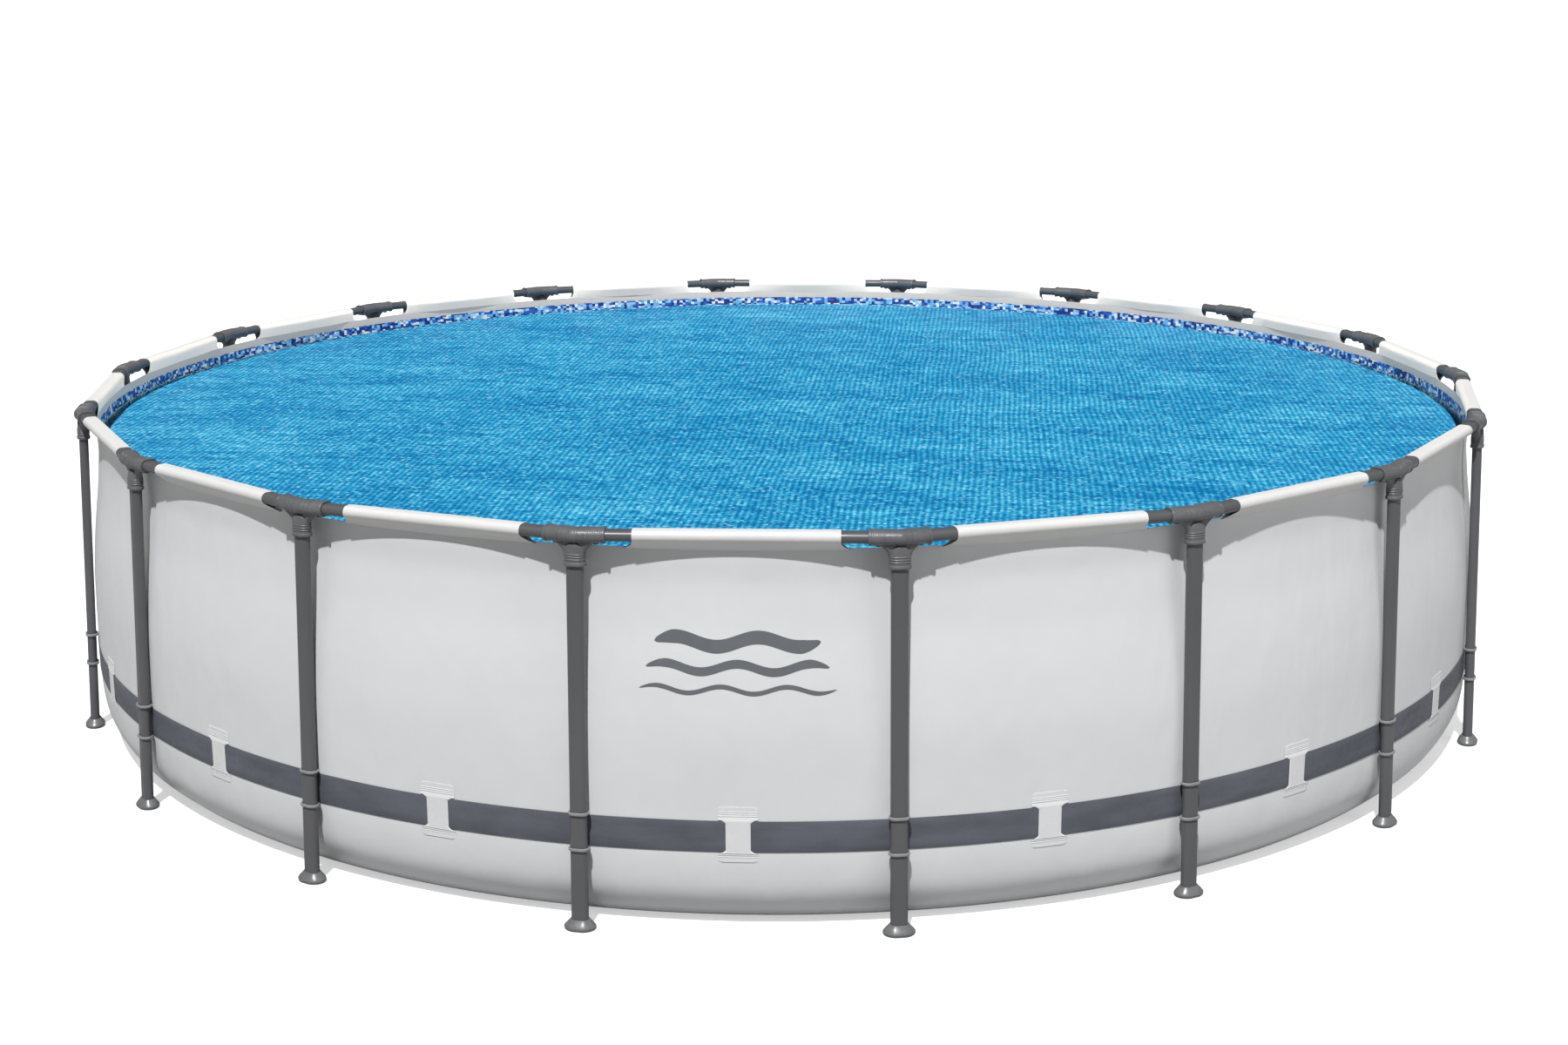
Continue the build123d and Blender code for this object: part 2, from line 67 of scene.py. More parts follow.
@dataclass(frozen=True)
class PoolLayout:
    """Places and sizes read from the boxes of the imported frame's nodes."""

    bays: int
    tube_width: float
    tube_depth: float
    mid_bay_radius: float
    rail_height: float
    foot_radius: float
    wall_top: float
    band: tuple[float, float]
    loop: tuple[float, float]
    hoops: tuple[float, float]
    cover_radius: float
    cover_top: float
    slot_half: float = 0.168

    @classmethod
    def from_frame(cls) -> "PoolLayout":
        """Read every place.

        Returns:
            The layout that the sub-assemblies are built to.
        """
        legs = [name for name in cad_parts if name.startswith("leg_") and name[4:].isdigit()]
        leg, rail, foot, wall, band, loop, hoop, cover = map(
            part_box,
            ("leg_01", "top_rails", "foot_caps", "liner_wall")
            + ("restraint_band", "band_loops", "leg_hoops", "solar_cover"),
        )
        tube_width = leg[1].y - leg[0].y
        return cls(
            bays=len(legs),
            tube_width=tube_width,
            tube_depth=rail[1].z - rail[0].z,
            mid_bay_radius=rail[1].y - tube_width / 2,
            rail_height=(rail[0].z + rail[1].z) / 2,
            foot_radius=foot[1].x - FOOT_HALF_DEPTH,
            wall_top=wall[1].z,
            band=(band[0].z, band[1].z),
            loop=(loop[0].z, loop[1].z),
            hoops=(hoop[0].z + HOOP_HALF_HEIGHT, hoop[1].z - HOOP_HALF_HEIGHT),
            cover_radius=cover[1].x,
            cover_top=cover[1].z,
        )

    @property
    def step(self) -> float:
        """Angle of one bay, in radians."""
        return TURN / self.bays

    @property
    def corner_radius(self) -> float:
        """Radius of the corner where two rail axes meet over a leg."""
        return self.mid_bay_radius / math.cos(self.step / 2)

    @property
    def chord(self) -> float:
        """Length of one rail axis from corner to corner."""
        return 2 * self.corner_radius * math.sin(self.step / 2)

    @property
    def spread(self) -> float:
        """How much further out a leg's foot stands than its top."""
        return self.foot_radius - self.corner_radius

    @property
    def splay(self) -> float:
        """Angle by which a leg leans outwards towards its foot, in radians."""
        return math.atan2(self.spread, self.rail_height)

    @property
    def leg_length(self) -> float:
        """Length of the leg's axis from the corner down to the ground."""
        return math.hypot(self.spread, self.rail_height)


# ---------------------------------------------------------------- mesh making
@dataclass
class Shell:
    """Points and faces gathered for one mesh."""

    points: list[np.ndarray] = field(default_factory=list)
    faces: list[tuple[int, ...]] = field(default_factory=list)
    corners: list[tuple[float, float]] = field(default_factory=list)
    slots: list[int] = field(default_factory=list)
    count: int = 0

    def grid(
        self,
        places: np.ndarray,
        wrap_rows: bool = False,
        wrap_columns: bool = False,
        uv: np.ndarray | None = None,
        slot: Callable[[int], int] = lambda row: 0,
    ) -> np.ndarray:
        """Add a grid of quads.

        Args:
            places: Points, shaped rows by columns by three.
            wrap_rows: Join the last row to the first.
            wrap_columns: Join the last column to the first.
            uv: Flat coordinates, with one more row or column where the grid wraps.
            slot: Gives the material slot of a row of quads.

        Returns:
            The index of every point of the grid.
        """
        rows, columns = places.shape[:2]
        index = np.arange(rows * columns).reshape(rows, columns) + self.count
        self.points.append(places.reshape(-1, 3))
        self.count += rows * columns
        for r in range(rows if wrap_rows else rows - 1):
            below, above = index[r], index[(r + 1) % rows]
            for c in range(columns if wrap_columns else columns - 1):
                n = (c + 1) % columns
                self.face((below[c], below[n], above[n], above[c]), slot(r))
                if uv is not None:
                    around_quad = ((r, c), (r, c + 1), (r + 1, c + 1), (r + 1, c))
                    self.corners[-4:] = [(float(uv[i, j, 0]), float(uv[i, j, 1])) for i, j in around_quad]
        return index

    def face(self, ring: Iterable[int], slot: int = 0) -> None:
        """Add one face.

        Args:
            ring: Indices of its points, in order.
            slot: Its material slot.
        """
        face = tuple(int(i) for i in ring)
        self.faces.append(face)
        self.slots.append(slot)
        self.corners.extend(((0.0, 0.0),) * len(face))

    def hoop(self, rows: Sequence[np.ndarray], uv: np.ndarray | None = None, **more: object) -> "Shell":
        """Add rows that close on themselves both ways; returns the shell."""
        self.grid(np.stack(rows), wrap_rows=True, wrap_columns=True, uv=uv, **more)
        return self

    def solid(self, rows: Sequence[np.ndarray]) -> "Shell":
        """Add rings with a lid on the first and the last.

        Args:
            rows: The rings, each a closed row of points.

        Returns:
            The shell.
        """
        index = self.grid(np.stack(rows), wrap_columns=True)
        self.face(index[0][::-1])
        self.face(index[-1])
        return self

    def mesh(self, name: str, crease: float = 32.0) -> bpy.types.Mesh:
        """Turn the gathered faces into a mesh that is closed, outward and smooth.

        Args:
            name: Name of the mesh.
            crease: Edges sharper than this stay hard, in degrees.

        Returns:
            The mesh.
        """
        made = bpy.data.meshes.new(name)
        made.from_pydata(np.concatenate(self.points).tolist(), [], self.faces)
        layer = made.uv_layers.new(name="UVMap")
        layer.data.foreach_set("uv", np.array(self.corners, np.float32).ravel())
        made.polygons.foreach_set("material_index", self.slots)
        soften(made, crease)
        return made


def soften(made: bpy.types.Mesh, crease: float) -> None:
    """Point a mesh's faces outwards and shade it smooth between its hard edges.

    Args:
        made: The mesh.
        crease: Edges sharper than this stay hard, in degrees.
    """
    work = bmesh.new()
    work.from_mesh(made)
    bmesh.ops.recalc_face_normals(work, faces=work.faces)
    work.to_mesh(made)
    work.free()
    made.shade_smooth()
    made.set_sharp_from_angle(angle=math.radians(crease))
    made.update()


def around(reach: object, angle: object, height: object) -> np.ndarray:
    """Points at radii, azimuths and heights, each a number or an array."""
    reach, angle, height = np.broadcast_arrays(reach, angle, height)
    return np.stack([reach * np.cos(angle), reach * np.sin(angle), height], -1)


def flat_map(u: np.ndarray, v: np.ndarray) -> np.ndarray:
    """Flat coordinates of every place of a grid."""
    return np.stack(np.meshgrid(u, v), -1)


def stadium(width: float, depth: float, arc: int) -> np.ndarray:
    """Outline of a flat oval tube.

    Args:
        width: Its whole width, along the first axis.
        depth: Its whole depth, along the second axis.
        arc: Segments in each round end.

    Returns:
        Points in order round the outline.
    """
    radius = depth / 2
    reach = max(width / 2 - radius, 0.0)
    right = np.linspace(-math.pi / 2, math.pi / 2, arc + 1)
    ends = [np.stack([reach + radius * np.cos(right), radius * np.sin(right)], -1)]
    left = right + math.pi
    ends.append(np.stack([-reach + radius * np.cos(left), radius * np.sin(left)], -1))
    return np.concatenate(ends)


def smooth_line(knots: Sequence[tuple[float, float]], count: int) -> np.ndarray:
    """A rounded line through a few places.

    Args:
        knots: The places it passes.
        count: How many points to give.

    Returns:
        Points evenly spread over the knots.
    """
    k = np.array(knots, float)
    ends = np.concatenate([[2 * k[0] - k[1]], k, [2 * k[-1] - k[-2]]])
    at = np.linspace(0, len(k) - 1, count)
    i = np.minimum(at.astype(int), len(k) - 2)
    t = (at - i)[:, None]
    a, b, c, d = ends[i], ends[i + 1], ends[i + 2], ends[i + 3]
    square, cube = 2 * a - 5 * b + 4 * c - d, 3 * b - a - 3 * c + d
    return 0.5 * (2 * b + (c - a) * t + square * t**2 + cube * t**3)


def object_from(name: str, made: bpy.types.Mesh, *finishes: bpy.types.Material) -> bpy.types.Object:
    """Put a mesh in the scene as an object at the origin.

    Args:
        name: Name of the piece.
        made: Its mesh.
        finishes: Its materials, in the order of its slots.

    Returns:
        The object.
    """
    for finish in finishes:
        made.materials.append(finish)
    piece = bpy.data.objects.new(name, made)
    bpy.context.scene.collection.objects.link(piece)
    return piece


def settle(piece: bpy.types.Object) -> None:
    """Apply a piece's modifiers to its mesh and take them off.

    Args:
        piece: The object.
    """
    bpy.context.view_layer.update()
    graph = bpy.context.evaluated_depsgraph_get()
    made = bpy.data.meshes.new_from_object(
        piece.evaluated_get(graph), preserve_all_data_layers=True, depsgraph=graph
    )
    piece.modifiers.clear()
    piece.data = made


class Joining(Enum):
    """How one closed mesh is combined with another."""

    ADD = "UNION"
    CUT = "DIFFERENCE"


def combine(piece: bpy.types.Object, other: bpy.types.Object, how: Joining) -> None:
    """Join another closed mesh to a piece, or cut it away, and drop the other.

    Args:
        piece: The piece that changes.
        other: The mesh that is added or cut away.
        how: Which of the two.
    """
    step = piece.modifiers.new("combine", "BOOLEAN")
    step.operation, step.solver, step.object = how.value, "EXACT", other
    settle(piece)
    bpy.data.objects.remove(other)


# ---------------------------------------------------------------- Geometry Nodes
class CopyTree:
    """Base of the Geometry Nodes trees that repeat one small piece."""

    inputs: tuple[str, str] = ("", "")

    def __init__(self, name: str) -> None:
        """Make the tree and its named inputs.

        Args:
            name: Name of the node group.
        """
        self.tree = bpy.data.node_groups.new(name, "GeometryNodeTree")
        face = self.tree.interface
        face.new_socket(name="Geometry", in_out="INPUT", socket_type="NodeSocketGeometry")
        kinds = {"Count": "Int", **dict.fromkeys(self.inputs, "Float"), "Finish": "Material"}
        for title, kind in kinds.items():
            face.new_socket(name=title, in_out="INPUT", socket_type=f"NodeSocket{kind}")
        face.new_socket(name="Geometry", in_out="OUTPUT", socket_type="NodeSocketGeometry")
        new = self.tree.nodes.new
        self.start, end = new("NodeGroupInput"), new("NodeGroupOutput")
        points, copies = new("GeometryNodePoints"), new("GeometryNodeInstanceOnPoints")
        real, dress = new("GeometryNodeRealizeInstances"), new("GeometryNodeSetMaterial")
        self.link(self.start.outputs["Count"], points.inputs["Count"])
        self.link(points.outputs[0], copies.inputs["Points"])
        self.link(self.start.outputs["Geometry"], copies.inputs["Instance"])
        self.link(copies.outputs[0], real.inputs[0])
        self.link(real.outputs[0], dress.inputs["Geometry"])
        self.link(self.start.outputs["Finish"], dress.inputs["Material"])
        self.link(dress.outputs[0], end.inputs[0])
        self.place(points, copies)

    def link(self, source: Socket, target: Socket) -> None:
        """Link two sockets."""
        self.tree.links.new(source, target)

    def stepped(self, axis: str) -> Socket:
        """A vector whose one part grows with each copy.

        Args:
            axis: The part: X, Y or Z.

        Returns:
            The socket of the vector.
        """
        first, step = self.inputs
        index = self.tree.nodes.new("GeometryNodeInputIndex")
        grow = self.tree.nodes.new("ShaderNodeMath")
        grow.operation = "MULTIPLY_ADD"
        self.link(index.outputs[0], grow.inputs[0])
        self.link(self.start.outputs[step], grow.inputs[1])
        self.link(self.start.outputs[first], grow.inputs[2])
        vector = self.tree.nodes.new("ShaderNodeCombineXYZ")
        self.link(grow.outputs[0], vector.inputs[axis])
        return vector.outputs[0]

    def place(self, points: bpy.types.Node, copies: bpy.types.Node) -> None:
        """Set where each copy goes, on the node of the points or the node of the copies."""
        raise NotImplementedError

    def apply(self, piece: bpy.types.Object, finish: bpy.types.Material, *values: float) -> None:
        """Run the tree on a piece and keep the result as its plain mesh.

        Args:
            piece: The object that holds the small piece.
            finish: Material of the result.
            values: The count, the first value and the step.
        """
        step = piece.modifiers.new("copies", "NODES")
        step.node_group = self.tree
        sockets = {
            item.name: item.identifier
            for item in self.tree.interface.items_tree
            if item.item_type == "SOCKET" and item.in_out == "INPUT"
        }
        for title, value in zip(("Count", *self.inputs, "Finish"), (*values, finish)):
            step[sockets[title]] = value
        settle(piece)


class RingTree(CopyTree):
    """Copies of one bay's piece, turned round the basin's axis."""

    inputs = ("First angle", "Angle step")

    def place(self, points: bpy.types.Node, copies: bpy.types.Node) -> None:
        """Turn each copy by its own angle."""
        self.link(self.stepped("Z"), copies.inputs["Rotation"])


class RowTree(CopyTree):
    """Copies of one small raised mark in a straight row along X."""

    inputs = ("First place", "Pitch")

    def place(self, points: bpy.types.Node, copies: bpy.types.Node) -> None:
        """Move each copy on by one pitch."""
        self.link(self.stepped("X"), points.inputs["Position"])


# ---------------------------------------------------------------- finishes
def tint(colour: Colour, share: float) -> Colour:
    """A colour made darker or lighter, with no part over 1."""
    return tuple(min(c * share, 1.0) for c in colour)


class Bench:
    """A material's node tree, with short ways to fill it."""

    def __init__(self, name: str) -> None:
        """Start an empty material.

        Args:
            name: Name of the material.
        """
        self.material = bpy.data.materials.new(name)
        self.material.use_nodes = True
        self.tree = self.material.node_tree
        self.shader = self.tree.nodes["Principled BSDF"]
        self.object = self.add("TexCoord").outputs["Object"]

    def add(self, kind: str, settings: dict[str, object] | None = None, **values: object) -> bpy.types.Node:
        """Add a node.

        Args:
            kind: Its type, after ShaderNode.
            settings: Its properties.
            values: Its inputs, as sockets or plain values.

        Returns:
            The node.
        """
        node = self.tree.nodes.new(f"ShaderNode{kind}")
        for key, value in (settings or {}).items():
            setattr(node, key, value)
        for title, value in values.items():
            self.feed(node.inputs[title.replace("_", " ")], value)
        return node

    def link(self, source: Socket, target: Socket) -> None:
        """Link two sockets."""
        self.tree.links.new(source, target)

    def feed(self, target: Socket, value: object) -> None:
        """Link a socket to a target, or set the target to a plain value.

        Args:
            target: The input.
            value: A socket or a plain value.
        """
        if isinstance(value, Socket):
            self.link(value, target)
        else:
            target.default_value = value

    def sum(self, operation: str, *values: object) -> Socket:
        """A value worked out from others.

        Args:
            operation: The Math node's operation.
            values: Sockets or numbers.

        Returns:
            The result's socket.
        """
        node = self.add("Math", {"operation": operation})
        for target, value in zip(node.inputs, values):
            self.feed(target, value)
        return node.outputs[0]

    def split(self, source: Socket) -> tuple[Socket, ...]:
        """The three parts of a vector."""
        return tuple(self.add("SeparateXYZ", Vector=source).outputs)

    def flat(self) -> Socket:
        """The piece's own flat coordinates."""
        return self.add("UVMap", {"uv_map": "UVMap"}).outputs[0]

    def wave(self, source: Socket, turn: float) -> Socket:
        """A sine of a value times a factor."""
        return self.sum("SINE", self.sum("MULTIPLY", source, turn))

    def threads(self, source: Socket, pitch: float) -> Socket:
        """Round ridges, one each pitch."""
        return self.sum("ABSOLUTE", self.wave(source, math.pi / pitch))

    def scaled(self, source: Socket, scale: Colour, turn: float = 0.0) -> Socket:
        """Coordinates stretched along each axis, and turned about Z by radians."""
        node = self.add("Mapping", Vector=source, Scale=scale, Rotation=(0.0, 0.0, turn))
        return node.outputs[0]

    def noise(self, source: Socket, scale: float, detail: float = 3.0) -> Socket:
        """Soft noise of about 0.3 to 0.7, by its features a metre and its finer layers."""
        return self.add("TexNoise", Vector=source, Scale=scale, Detail=detail).outputs[0]

    def cells(self, source: Socket, scale: float, settings: dict[str, object], **values: object) -> tuple:
        """Distance and two random values of cells.

        Args:
            source: The coordinates.
            scale: Cells a metre.
            settings: The Voronoi node's properties.
            values: Its other inputs.

        Returns:
            The sockets of the distance, the first value and the second.
        """
        node = self.add("TexVoronoi", settings, Vector=source, Scale=scale, **values)
        pick = self.tree.nodes.new("ShaderNodeSeparateColor")
        self.link(node.outputs["Color"], pick.inputs[0])
        return node.outputs["Distance"], pick.outputs[0], pick.outputs[1]

    def ramp(self, source: Socket, *stops: tuple[float, Colour], hard: bool = False) -> Socket:
        """Colours along a value.

        Args:
            source: The value.
            stops: Places and their colours.
            hard: Keep each colour flat up to the next stop.

        Returns:
            The colour.
        """
        node = self.add("ValToRGB", Fac=source)
        band = node.color_ramp
        band.interpolation = "CONSTANT" if hard else "LINEAR"
        while len(band.elements) < len(stops):
            band.elements.new(1.0)
        for element, (place, colour) in zip(band.elements, stops):
            element.position = place
            element.color = (*colour, 1.0)
        return node.outputs["Color"]

    def range(self, source: Socket, low: float, high: float, to_low: float, to_high: float) -> Socket:
        """A value moved from one range to another, smoothly and within its ends.

        Args:
            source: The value.
            low: Start of its range.
            high: End of its range.
            to_low: Result at the start.
            to_high: Result at the end.

        Returns:
            The result's socket.
        """
        ends = {"From Min": low, "From Max": high, "To Min": to_low, "To Max": to_high}
        node = self.add("MapRange", {"interpolation_type": "SMOOTHSTEP"}, Value=source, **ends)
        return node.outputs["Result"]

    def gloss(self, scale: float, low: float, high: float) -> Socket:
        """A roughness that wanders between two values, by its features a metre."""
        return self.range(self.noise(self.object, scale), 0.3, 0.7, low, high)

    def mix(self, factor: object, first: object, second: object) -> Socket:
        """Two colours mixed.

        Args:
            factor: Share of the second.
            first: Socket or colour.
            second: Socket or colour.

        Returns:
            The colour.
        """
        node = self.add("Mix", {"data_type": "RGBA"}, Factor=factor)
        for title, value in (("A", first), ("B", second)):
            target = next(s for s in node.inputs if s.name == title and s.type == "RGBA")
            self.feed(target, (*value, 1.0) if isinstance(value, tuple) else value)
        return next(s for s in node.outputs if s.type == "RGBA")

    def bump(self, height: Socket, depth: float, **under: Socket) -> Socket:
        """A bumped normal: a height from 0 to 1, its depth, and the Normal it lies on."""
        return self.add("Bump", Distance=depth, Height=height, **under).outputs[0]

    def finish(self, **values: object) -> bpy.types.Material:
        """Set or link the shader's inputs, with _ for a space, and return the material."""
        for title, value in values.items():
            self.feed(self.shader.inputs[title.replace("_", " ")], value)
        return self.material


@dataclass(frozen=True)
class PlainFinish:
    """A finish of one colour with grain, slight shading and wear in its gloss."""

    name: str
    colour: Colour
    roughness: float
    grain: float = 900.0
    grain_depth: float = 0.00012
    patch: float = 7.0
    shade: float = 0.12
    gloss_spread: float = 0.08
    metallic: float = 0.0

    def build(self) -> bpy.types.Material:
        """Make the material.

        Returns:
            The material.
        """
        bench = Bench(self.name)
        stops = (0.3, tint(self.colour, 1 - self.shade)), (0.7, tint(self.colour, 1 + self.shade))
        low, high = self.roughness - self.gloss_spread, self.roughness + self.gloss_spread
        return bench.finish(
            Base_Color=bench.ramp(bench.noise(bench.object, self.patch, 4.0), *stops),
            Roughness=bench.gloss(self.patch * 5, low, high),
            Normal=bench.bump(bench.noise(bench.object, self.grain, 2.0), self.grain_depth),
            Metallic=self.metallic,
        )


@dataclass(frozen=True)
class VinylFinish:
    """Laminated vinyl: a faint scrim shows through it, and it is slightly mottled."""

    name: str
    colour: Colour
    roughness: float = 0.42
    thread_pitch: float = 0.0045
    thread_depth: float = 0.00006
    buckle_depth: float = 0.004
    shade: float = 0.025

    def build(self) -> bpy.types.Material:
        """Make the material, whose threads follow the piece's own flat coordinates.

        Returns:
            The material.
        """
        bench = Bench(self.name)
        across, along, _ = bench.split(bench.flat())
        threads = [bench.threads(part, self.thread_pitch) for part in (across, along)]
        stops = (0.35, tint(self.colour, 1 - self.shade)), (0.65, self.colour)
        wide = bench.noise(bench.scaled(bench.object, (1.0, 1.0, 0.5)), 9.0, 2.0)
        buckle = bench.bump(wide, self.buckle_depth)
        return bench.finish(
            Base_Color=bench.ramp(bench.noise(bench.object, 3.0, 5.0), *stops),
            Roughness=bench.gloss(40.0, self.roughness - 0.05, self.roughness + 0.06),
            Normal=bench.bump(bench.sum("MAXIMUM", *threads), self.thread_depth, Normal=buckle),
        )


@dataclass(frozen=True)
class LinerInsideFinish:
    """Inside of the liner: a plain hem, a tile border under it and a blue mottled field."""

    name: str
    hem_edge: float
    border_edge: float
    tiles: Colour = (64.0, 84.0, 1.0)
    hem: Colour = (0.50, 0.475, 0.45)
    border: tuple[tuple[float, Colour], ...] = (
        (0.0, (0.010, 0.025, 0.18)),
        (0.30, (0.02, 0.10, 0.42)),
        (0.52, (0.12, 0.36, 0.66)),
        (0.72, (0.62, 0.70, 0.76)),
        (0.86, (0.26, 0.50, 0.74)),
    )
    blues: tuple[tuple[float, Colour], ...] = (
        (0.0, (0.03, 0.16, 0.42)),
        (0.3, (0.10, 0.36, 0.62)),
        (0.6, (0.20, 0.50, 0.74)),
        (0.85, (0.45, 0.68, 0.84)),
    )

    def build(self) -> bpy.types.Material:
        """Make the material, whose second flat coordinate is the height.

        Returns:
            The material.
        """
        bench = Bench(self.name)
        flat = bench.flat()
        square = {"distance": "CHEBYCHEV", "voronoi_dimensions": "2D"}
        _, first, second = bench.cells(bench.scaled(flat, self.tiles), 1.0, square, Randomness=0.4)
        height = bench.split(flat)[1]
        high, mid = (bench.sum("GREATER_THAN", height, edge) for edge in (self.hem_edge, self.border_edge))
        field_colour = bench.ramp(second, *self.blues, hard=True)
        under_hem = bench.mix(mid, field_colour, bench.ramp(first, *self.border, hard=True))
        return bench.finish(
            Base_Color=bench.mix(high, under_hem, self.hem),
            Roughness=bench.gloss(30.0, 0.34, 0.46),
            Normal=bench.bump(bench.noise(bench.object, 14.0), 0.003),
        )


@dataclass(frozen=True)
class FloorSheetFinish:
    """Blue floor sheet with a pebble print."""

    name: str
    colour: Colour = (0.16, 0.40, 0.62)
    pebbles: float = 28.0

    def build(self) -> bpy.types.Material:
        """Make the material.

        Returns:
            The material.
        """
        bench = Bench(self.name)
        _, pick, _ = bench.cells(bench.object, self.pebbles, {})
        stops = (0.0, tint(self.colour, 0.7)), (0.5, self.colour), (1.0, tint(self.colour, 1.5))
        return bench.finish(
            Base_Color=bench.ramp(pick, *stops),
            Roughness=bench.gloss(30.0, 0.35, 0.5),
            Normal=bench.bump(bench.noise(bench.object, 18.0), 0.003),
        )


@dataclass(frozen=True)
class BubbleFilmFinish:
    """Translucent blue film with rows of small air bubbles, with painted glints of light, painted shade along
    its folds and painted shading along its bubble rows.
    """

    name: str
    pitch: float = 0.0115
    row_pitch: float = 0.0215
    line_pitch: float = 0.0290
    skew: float = math.radians(2.5)
    roughness: float = 0.38
    bubble_height: float = 0.0010
    fold_height: float = 0.012
    deep: Colour = (0.004, 0.135, 0.345)
    blue: Colour = (0.014, 0.232, 0.450)
    pale: Colour = (0.030, 0.340, 0.565)
    # painted highlight: pale blue that stands in for glints of light on the bubbles
    painted_glint: Colour = (0.19, 0.56, 0.72)

    def build(self) -> bpy.types.Material:
        """Make the material, whose bubbles follow the film's own plane.

        Returns:
            The material.
        """
        bench = Bench(self.name)
        plane = bench.scaled(bench.object, (1.0, 1.0, 0.0), self.skew)
        drift = bench.add("TexNoise", Vector=plane, Scale=1.3).outputs["Color"]
        warp = bench.add("VectorMath", {"operation": "MULTIPLY_ADD"})
        for target, value in zip(warp.inputs, (drift, (0.05, 0.05, 0.0), plane)):
            bench.feed(target, value)
        laid = warp.outputs[0]
        flat_cells = {"voronoi_dimensions": "2D"}
        distance, shade, painted_glint_pick = bench.cells(laid, 1 / self.pitch, flat_cells, Randomness=0.22)
        across, along, _ = bench.split(laid)
        # stripes along the real rows and lines of bubbles: painted shading of the bubble domes, added to the
        # tone
        rows, lines = bench.wave(across, TURN / self.row_pitch), bench.wave(along, TURN / self.line_pitch)
        broad = bench.noise(bench.scaled(plane, (0.7, 1.5, 1.0)), 2.0, 3.0)
        streaks = bench.noise(bench.scaled(plane, (3.2, 15.0, 1.0), 0.12), 1.3, 4.0)
        patches = bench.noise(plane, 26.0, 3.0)
        wander = bench.noise(bench.scaled(plane, (1.3, 4.2, 1.0), -0.1), 1.5, 3.0)
        ridge = bench.sum("ABSOLUTE", bench.sum("SUBTRACT", wander, 0.5))
        # painted shade: a thin dark line along each fold, taken off the tone; the same value also feeds the
        # folds' bump
        fold = bench.range(ridge, 0.0, 0.022, -0.28, 0.0)
        parts = ((broad, 0.9), (streaks, 0.8), (patches, 0.7), (rows, 0.21), (lines, 0.06), (shade, 0.42))
        tone = fold
        for part, share in parts:
            tone = bench.sum("MULTIPLY_ADD", part, share, tone)
        # the top of this ramp is the painted glint colour, a painted highlight
        colour = bench.ramp(
            bench.sum("DIVIDE", tone, 2.9),
            *((0.36, self.deep), (0.455, self.blue), (0.56, self.pale), (0.66, self.painted_glint)),
        )
        folds = bench.bump(bench.sum("MULTIPLY_ADD", fold, 0.6, streaks), self.fold_height)
        low, high = self.roughness - 0.06, self.roughness + 0.1
        return bench.finish(
            # random cells take the painted glint colour: painted highlights on single bubbles
            Base_Color=bench.mix(bench.range(painted_glint_pick, 0.88, 1.0, 0.0, 0.8), colour, self.painted_glint),
            Roughness=bench.range(patches, 0.3, 0.7, low, high),
            Normal=bench.bump(bench.range(distance, 0.12, 0.5, 1.0, 0.0), self.bubble_height, Normal=folds),
            Specular_IOR_Level=0.03,
        )


@dataclass(frozen=True)
class StrapFinish:
    """Woven strap coated with matt vinyl, ribbed along its length."""

    name: str
    colour: Colour
    rib_pitch: float = 0.0035
    rib_depth: float = 0.00025

    def build(self) -> bpy.types.Material:
        """Make the material.

        Returns:
            The material.
        """
        bench = Bench(self.name)
        along, up, _ = bench.split(bench.flat())
        ribs, weave = bench.threads(up, self.rib_pitch), bench.threads(along, self.rib_pitch)
        tone = bench.noise(bench.scaled(bench.object, (1.0, 1.0, 4.0)), 5.0, 5.0)
        return bench.finish(
            Base_Color=bench.ramp(tone, (0.35, tint(self.colour, 0.85)), (0.65, tint(self.colour, 1.15))),
            Roughness=bench.gloss(60.0, 0.5, 0.66),
            Normal=bench.bump(bench.sum("MULTIPLY", ribs, weave), self.rib_depth),
        )


class Wardrobe:
    """Every finish of the object, made once."""

    def __init__(self, layout: PoolLayout) -> None:
        """Make the materials.

        Args:
            layout: The frame's places.
        """
        edges = layout.wall_top - HEM_DROP, layout.wall_top - BORDER_DROP

        def plain(name: str, colour: Colour, *looks: float, metallic: float = 0.0) -> bpy.types.Material:
            """One plain finish, by the order of its fields."""
            return PlainFinish(name, colour, *looks, metallic=metallic).build()

        self.steel = plain("steel_tube_grey", (0.097, 0.098, 0.104), 0.38, 1400.0, 0.00005, 3.0, 0.06, 0.05)
        self.connector = plain("connector_grey", (0.125, 0.126, 0.132), 0.38, 1100.0, 0.0002, 16.0, 0.10)
        self.foot = plain("foot_grey", (0.140, 0.143, 0.150), 0.32, 700.0, 0.00008, 20.0, 0.1)
        self.hoop = plain("hoop_grey", (0.25, 0.255, 0.265), 0.32, 900.0, 0.00005, 20.0, 0.08)
        self.mark = plain("mark_grey", (0.13, 0.14, 0.155), 0.45, 800.0, 0.00003, 10.0, 0.05)
        self.rubber = plain("gasket_black", (0.02, 0.02, 0.021), 0.62, 600.0, 0.0001)
        self.fitting = plain("fitting_pale", (0.58, 0.59, 0.60), 0.30, 800.0, 0.00008, 18.0, 0.05)
        self.pin = plain("pin_bright", (0.55, 0.55, 0.56), 0.28, 1500.0, 0.00004, 30.0, 0.08, metallic=1.0)
        self.plug = plain("plug_mid_grey", (0.26, 0.265, 0.275), 0.34, 800.0, 0.00008, 18.0, 0.08)
        self.wall = VinylFinish("liner_white", (0.685, 0.692, 0.70)).build()
        self.sleeve = VinylFinish("sleeve_white", (0.68, 0.675, 0.67), 0.50).build()
        self.loop = VinylFinish("loop_white", (0.70, 0.705, 0.71), 0.3).build()
        self.inside = LinerInsideFinish("liner_inside", *edges).build()
        self.floor = FloorSheetFinish("liner_floor_blue").build()
        self.band = StrapFinish("band_grey", (0.098, 0.106, 0.128)).build()
        self.film = BubbleFilmFinish("cover_film").build()


